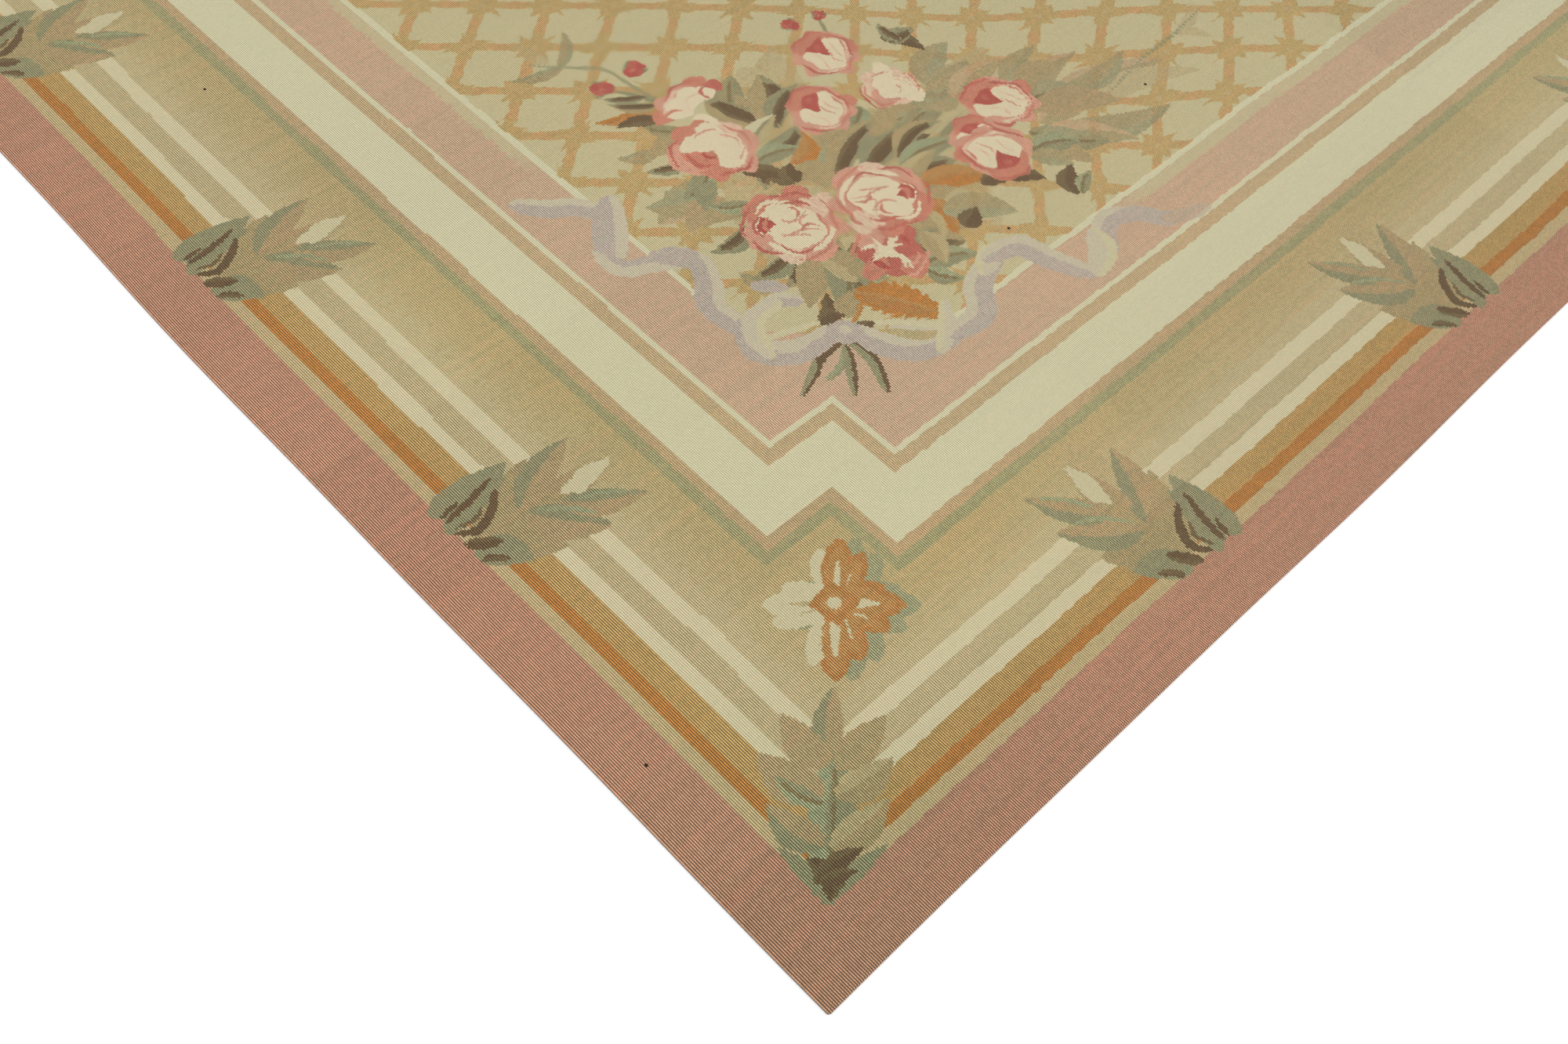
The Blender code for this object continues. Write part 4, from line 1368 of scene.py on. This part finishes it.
def trellis(graph, ground, colour, stitch, u, v, mitred):
    """Bars on both diagonals with star ties over their crossings. With a and b the distances from a
    crossing in diamonds, bars run where a + b or a - b is whole, and a star is where the roots of the
    distances from the nearest crossing sum to little."""
    away = (u - TRELLIS_STRETCH_PLACE) / TRELLIS_STRETCH_WIDTH
    bump = graph.math("EXPONENT", away * away * -1.0)
    a = (u - TRELLIS_ORIGIN[0]) / TRELLIS_PITCH[0] + bump * TRELLIS_STRETCH
    b = (v - TRELLIS_ORIGIN[1]) / TRELLIS_PITCH[1]
    rag = stitch.mottle - 0.5
    lines = [a + b, a - b]
    crossing = [graph.math("ROUND", line) for line in lines]
    across_p, across_q = (line - whole for line, whole in zip(lines, crossing))
    along_a = (across_p + across_q) * 0.5
    along_b = (across_p - across_q) * 0.5
    wide = rag * BAR_RAG + BAR_WIDTH
    bar = graph.math("MAXIMUM", abs(across_p) < wide, abs(across_q) < wide)
    reach = graph.math("MAXIMUM", abs(across_p), abs(across_q))
    lean = graph.chance("lean", *crossing) - 0.5
    long_arm = graph.math("POWER", abs(along_a + along_b * lean), STAR_POWER)
    cross_arm = graph.math("POWER", abs(along_b - along_a * lean), STAR_POWER)
    tie = long_arm + cross_arm + rag * STAR_RAG < STAR_SIZE
    spark = (reach < SPARK_REACH) * (graph.chance("spark", stitch.rib, stitch.pick) > 1 - SPARK_SHARE)
    fleck = graph.chance("bar", stitch.rib, stitch.pick) < graph.smooth(reach, *BAR_FADE)
    field = (mitred > FIELD_START) * (u + v > KNOT_LINE)
    colour = graph.mix(bar * field, colour, graph.mix(fleck, ground.bar, ground.tie))
    colour = graph.mix(tie * field, colour, ground.tie)
    return graph.mix(spark * tie * field, colour, ground.straw)


def motif_over(graph, colour, stitch):
    """The cartoon's blend over the ground: each stitch leans to the fleck yarn by its share and by
    chance, and lets the ground through where the blend doesn't cover it."""
    yarn, cover = graph.attribute("yarn", "Color", "Alpha")
    fleck, share = graph.attribute("fleck", "Color", "Alpha")
    chance = graph.chance("fleck", stitch.rib, (stitch.pick / HATCH_PICKS).floor())
    motif = graph.mix(share * (chance * FLECK_RANGE + FLECK_LEAST), yarn, fleck)
    return graph.mix(cover, colour, motif)


def yarn_reach(graph, colour):
    """How far a yarn's colour varies, and how deep the ribs' painted shade and highlight go: 1 for dark
    yarns, down to PALE_SHARE for pale ones.
    """
    light = graph.filled(graph.node("ShaderNodeRGBToBW"), (colour,))
    return graph.filled(graph.node("ShaderNodeMapRange"), (light, DARK_YARN, PALE_YARN, 1.0, PALE_SHARE))


def abrash(graph, colour, stitch, reach):
    """Dye lots and hand spinning: long thin streaks along the weft, broad clouds, stretches woven from
    other lots, mottling, and each stitch's own tone. Redder yarns take turns with them, and towards the
    corners the colour turns darker and browner."""
    drawn_out = graph.vector(stitch.x * STREAK_STRETCH[0], stitch.middle_y * STREAK_STRETCH[1])
    streak = graph.noise(drawn_out, scale=3.0, detail=2.0, roughness=0.6)
    broad = graph.vector(stitch.x * CLOUD_STRETCH, stitch.y)
    cloud = graph.noise(broad, scale=2.2, detail=1.0, roughness=0.55)
    lot = graph.chance("lot", (stitch.x / LOT_SIZE[0]).floor(), (stitch.y / LOT_SIZE[1]).floor())
    tone = -(STREAK_TONE + CLOUD_TONE + MOTTLE_TONE + STITCH_TONE + LOT_TONE) / 2
    for value, part in (
        (streak, STREAK_TONE),
        (cloud, CLOUD_TONE),
        (lot, LOT_TONE),
        (stitch.mottle, MOTTLE_TONE),
        (stitch.own, STITCH_TONE),
    ):
        tone = value * part + tone
    tone = tone * reach + 1.0
    redder = graph.mix(graph.smooth(streak, *REDDER_STREAKS), *STREAK_TINTS)
    colour = graph.mix(reach, colour, redder, "MULTIPLY")
    # Darker and browner towards the corners
    browner = graph.smooth(abs(stitch.x) + abs(stitch.y), *BROWN_CORNER)
    colour = graph.mix(browner, colour, graph.mix(1.0, colour, BROWN_TINT, "MULTIPLY"))
    return graph.mix(1.0, colour, graph.vector(tone, tone, tone), "MULTIPLY")


def specked(graph, colour, stitch):
    """Lint: some squares of the cloth hold one dark speck, at a place of its own."""
    cell_x = (stitch.x / SPECK_SQUARE).floor()
    cell_y = (stitch.y / SPECK_SQUARE).floor()
    luck = graph.chance("speck", cell_x, cell_y, "Color")
    shift_x, shift_y, turn = graph.parts("ShaderNodeSeparateColor", luck)
    away_x = stitch.x - (cell_x + shift_x) * SPECK_SQUARE
    away_y = stitch.y - (cell_y + shift_y) * SPECK_SQUARE
    near = away_x * away_x + away_y * away_y < SPECK_RADIUS**2
    return graph.mix(near * (turn < SPECK_SHARE), colour, SPECK_COLOUR)


def ribs_and_beads(graph, stitch):
    """Height over the cloth from 0 to 1: a rib is half a sine's arch, and every other pick crosses over
    each rib as a bead, shifted by one pick from rib to rib."""
    arch = graph.math("SINE", stitch.within_rib * math.pi)
    odd_rib = graph.math("MODULO", abs(stitch.rib), 2.0)
    crest = graph.math("COSINE", stitch.picks * math.pi + odd_rib * math.pi) * 0.5 + 0.5
    return arch * (crest * BEAD_RISE + (1 - BEAD_RISE))


def wool_material(cloth, ground):
    """Hand-woven wool over cotton ribs."""
    material = bpy.data.materials.new("woven wool")
    material.use_nodes = True
    tree = material.node_tree
    tree.nodes.clear()
    graph = Graph(tree)
    stitch = stitch_places(graph)
    u, v, mitred, notched = border_distances(graph, stitch)
    colour = stripes(graph, ground, stitch, u, v, mitred, notched)
    colour = trellis(graph, ground, colour, stitch, u, v, mitred)
    colour = motif_over(graph, colour, stitch)
    reach = yarn_reach(graph, colour)
    colour = abrash(graph, colour, stitch, reach)
    height = ribs_and_beads(graph, stitch)
    # Painted shade in the grooves between ribs and painted highlight on the ribs' crests and beads,
    # multiplied into the wool's colour
    shade = (height - HEIGHT_MEAN) * RIB_PAINTED_SHADE * reach + 1.0
    colour = graph.mix(1.0, colour, graph.vector(shade, shade, shade), "MULTIPLY")
    colour = specked(graph, colour, stitch)
    fuzz = graph.noise(graph.vector(stitch.x, stitch.y), FUZZ_SCALE, 0.0)
    bump = graph.node("ShaderNodeBump")
    bump.inputs["Strength"].default_value = 1.0
    bump.inputs["Distance"].default_value = cloth.rib_depth
    graph.feed(bump.inputs["Height"], height + fuzz * FUZZ_RISE)
    surface = graph.node("ShaderNodeBsdfPrincipled")
    graph.feed(surface.inputs["Base Color"], colour)
    graph.feed(surface.inputs["Roughness"], fuzz * 0.18 + 0.80)
    graph.feed(surface.inputs["Normal"], bump.outputs["Normal"])
    surface.inputs["Specular IOR Level"].default_value = 0.25
    surface.inputs["Sheen Weight"].default_value = 0.06
    surface.inputs["Sheen Roughness"].default_value = 0.5
    output = graph.node("ShaderNodeOutputMaterial")
    tree.links.new(surface.outputs[0], output.inputs["Surface"])
    return material


def floor_material(stage):
    """Matt pale floor, with a faint unevenness in its gloss."""
    material = bpy.data.materials.new("pale floor")
    material.use_nodes = True
    graph = Graph(material.node_tree)
    surface = material.node_tree.nodes["Principled BSDF"]
    surface.inputs["Base Color"].default_value = (*stage.floor_colour, 1.0)
    surface.inputs["Specular IOR Level"].default_value = 0.2
    cloud = graph.noise(graph.node("ShaderNodeTexCoord").outputs["Object"], 3.0, 3.0)
    graph.feed(surface.inputs["Roughness"], cloud * 0.2 + 0.75)
    return material


class RUG_OT_weave(bpy.types.Operator):
    """Weave the rug's cloth and lay it on the floor"""

    bl_idname = "rug.weave"
    bl_label = "Weave Rug"

    def execute(self, context):
        scene = context.scene
        rug = make_rug(scene.rug_cloth)
        rug.data.materials.append(wool_material(scene.rug_cloth, scene.rug_ground))
        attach(rug, "root")
        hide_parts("rug")
        return {"FINISHED"}


class RUG_OT_stage(bpy.types.Operator):
    """Put down the pale floor, the soft light and the camera"""

    bl_idname = "rug.stage"
    bl_label = "Set Stage"

    def execute(self, context):
        scene = context.scene
        stage = scene.rug_stage
        half = FLOOR_SIZE / 2
        corners = ((-half, -half), (half, -half), (half, half), (-half, half))
        mesh = bpy.data.meshes.new("floor")
        mesh.from_pydata([(*corner, -FLOOR_DROP) for corner in corners], [], [(0, 1, 2, 3)])
        floor = bpy.data.objects.new("floor", mesh)
        floor.data.materials.append(floor_material(stage))
        scene.collection.objects.link(floor)
        world = bpy.data.worlds.new("studio")
        world.use_nodes = True
        sky = world.node_tree.nodes["Background"]
        sky.inputs["Color"].default_value = (1.0, 1.0, 1.0, 1.0)
        sky.inputs["Strength"].default_value = stage.sky
        scene.world = world
        lamp = bpy.data.lights.new("soft lamp", "AREA")
        lamp.shape = "RECTANGLE"
        lamp.size = LAMP_SIZE
        lamp.size_y = LAMP_SIZE
        lamp.energy = stage.lamp
        lamp_object = bpy.data.objects.new("soft lamp", lamp)
        lamp_object.location = LAMP_PLACE
        towards = Vector(LAMP_TARGET) - Vector(LAMP_PLACE)
        lamp_object.rotation_euler = towards.to_track_quat("-Z", "Y").to_euler()
        scene.collection.objects.link(lamp_object)
        camera = bpy.data.cameras.new("camera")
        camera.lens = CAMERA_LENS
        camera.sensor_width = SENSOR_WIDTH
        camera.clip_start = 0.05
        camera_object = bpy.data.objects.new("camera", camera)
        camera_object.location = CAMERA_PLACE
        camera_object.rotation_euler = Euler([math.radians(angle) for angle in CAMERA_TURN])
        scene.collection.objects.link(camera_object)
        scene.camera = camera_object
        scene.view_settings.view_transform = "Standard"
        return {"FINISHED"}


class RUG_PT_panel(bpy.types.Panel):
    """The rug's steps, sizes and colours"""

    bl_label = "Aubusson Rug"
    bl_idname = "RUG_PT_panel"
    bl_space_type = "VIEW_3D"
    bl_region_type = "UI"
    bl_category = "Rug"

    def draw(self, context):
        layout = self.layout
        layout.operator(RUG_OT_weave.bl_idname)
        layout.operator(RUG_OT_stage.bl_idname)
        for group in (context.scene.rug_cloth, context.scene.rug_ground, context.scene.rug_stage):
            box = layout.box()
            for name in group.bl_rna.properties.keys():
                if name not in ("rna_type", "name"):
                    box.prop(group, name)


CLASSES = (RugCloth, RugGround, RugStage, RUG_OT_weave, RUG_OT_stage, RUG_PT_panel)


def register():
    for item in CLASSES:
        bpy.utils.register_class(item)
    bpy.types.Scene.rug_cloth = bpy.props.PointerProperty(type=RugCloth)
    bpy.types.Scene.rug_ground = bpy.props.PointerProperty(type=RugGround)
    bpy.types.Scene.rug_stage = bpy.props.PointerProperty(type=RugStage)


def unregister():
    del bpy.types.Scene.rug_stage
    del bpy.types.Scene.rug_ground
    del bpy.types.Scene.rug_cloth
    for item in reversed(CLASSES):
        bpy.utils.unregister_class(item)


def main():
    register()
    bpy.ops.rug.weave()
    bpy.ops.rug.stage()
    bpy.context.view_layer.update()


if __name__ == "__main__":
    main()
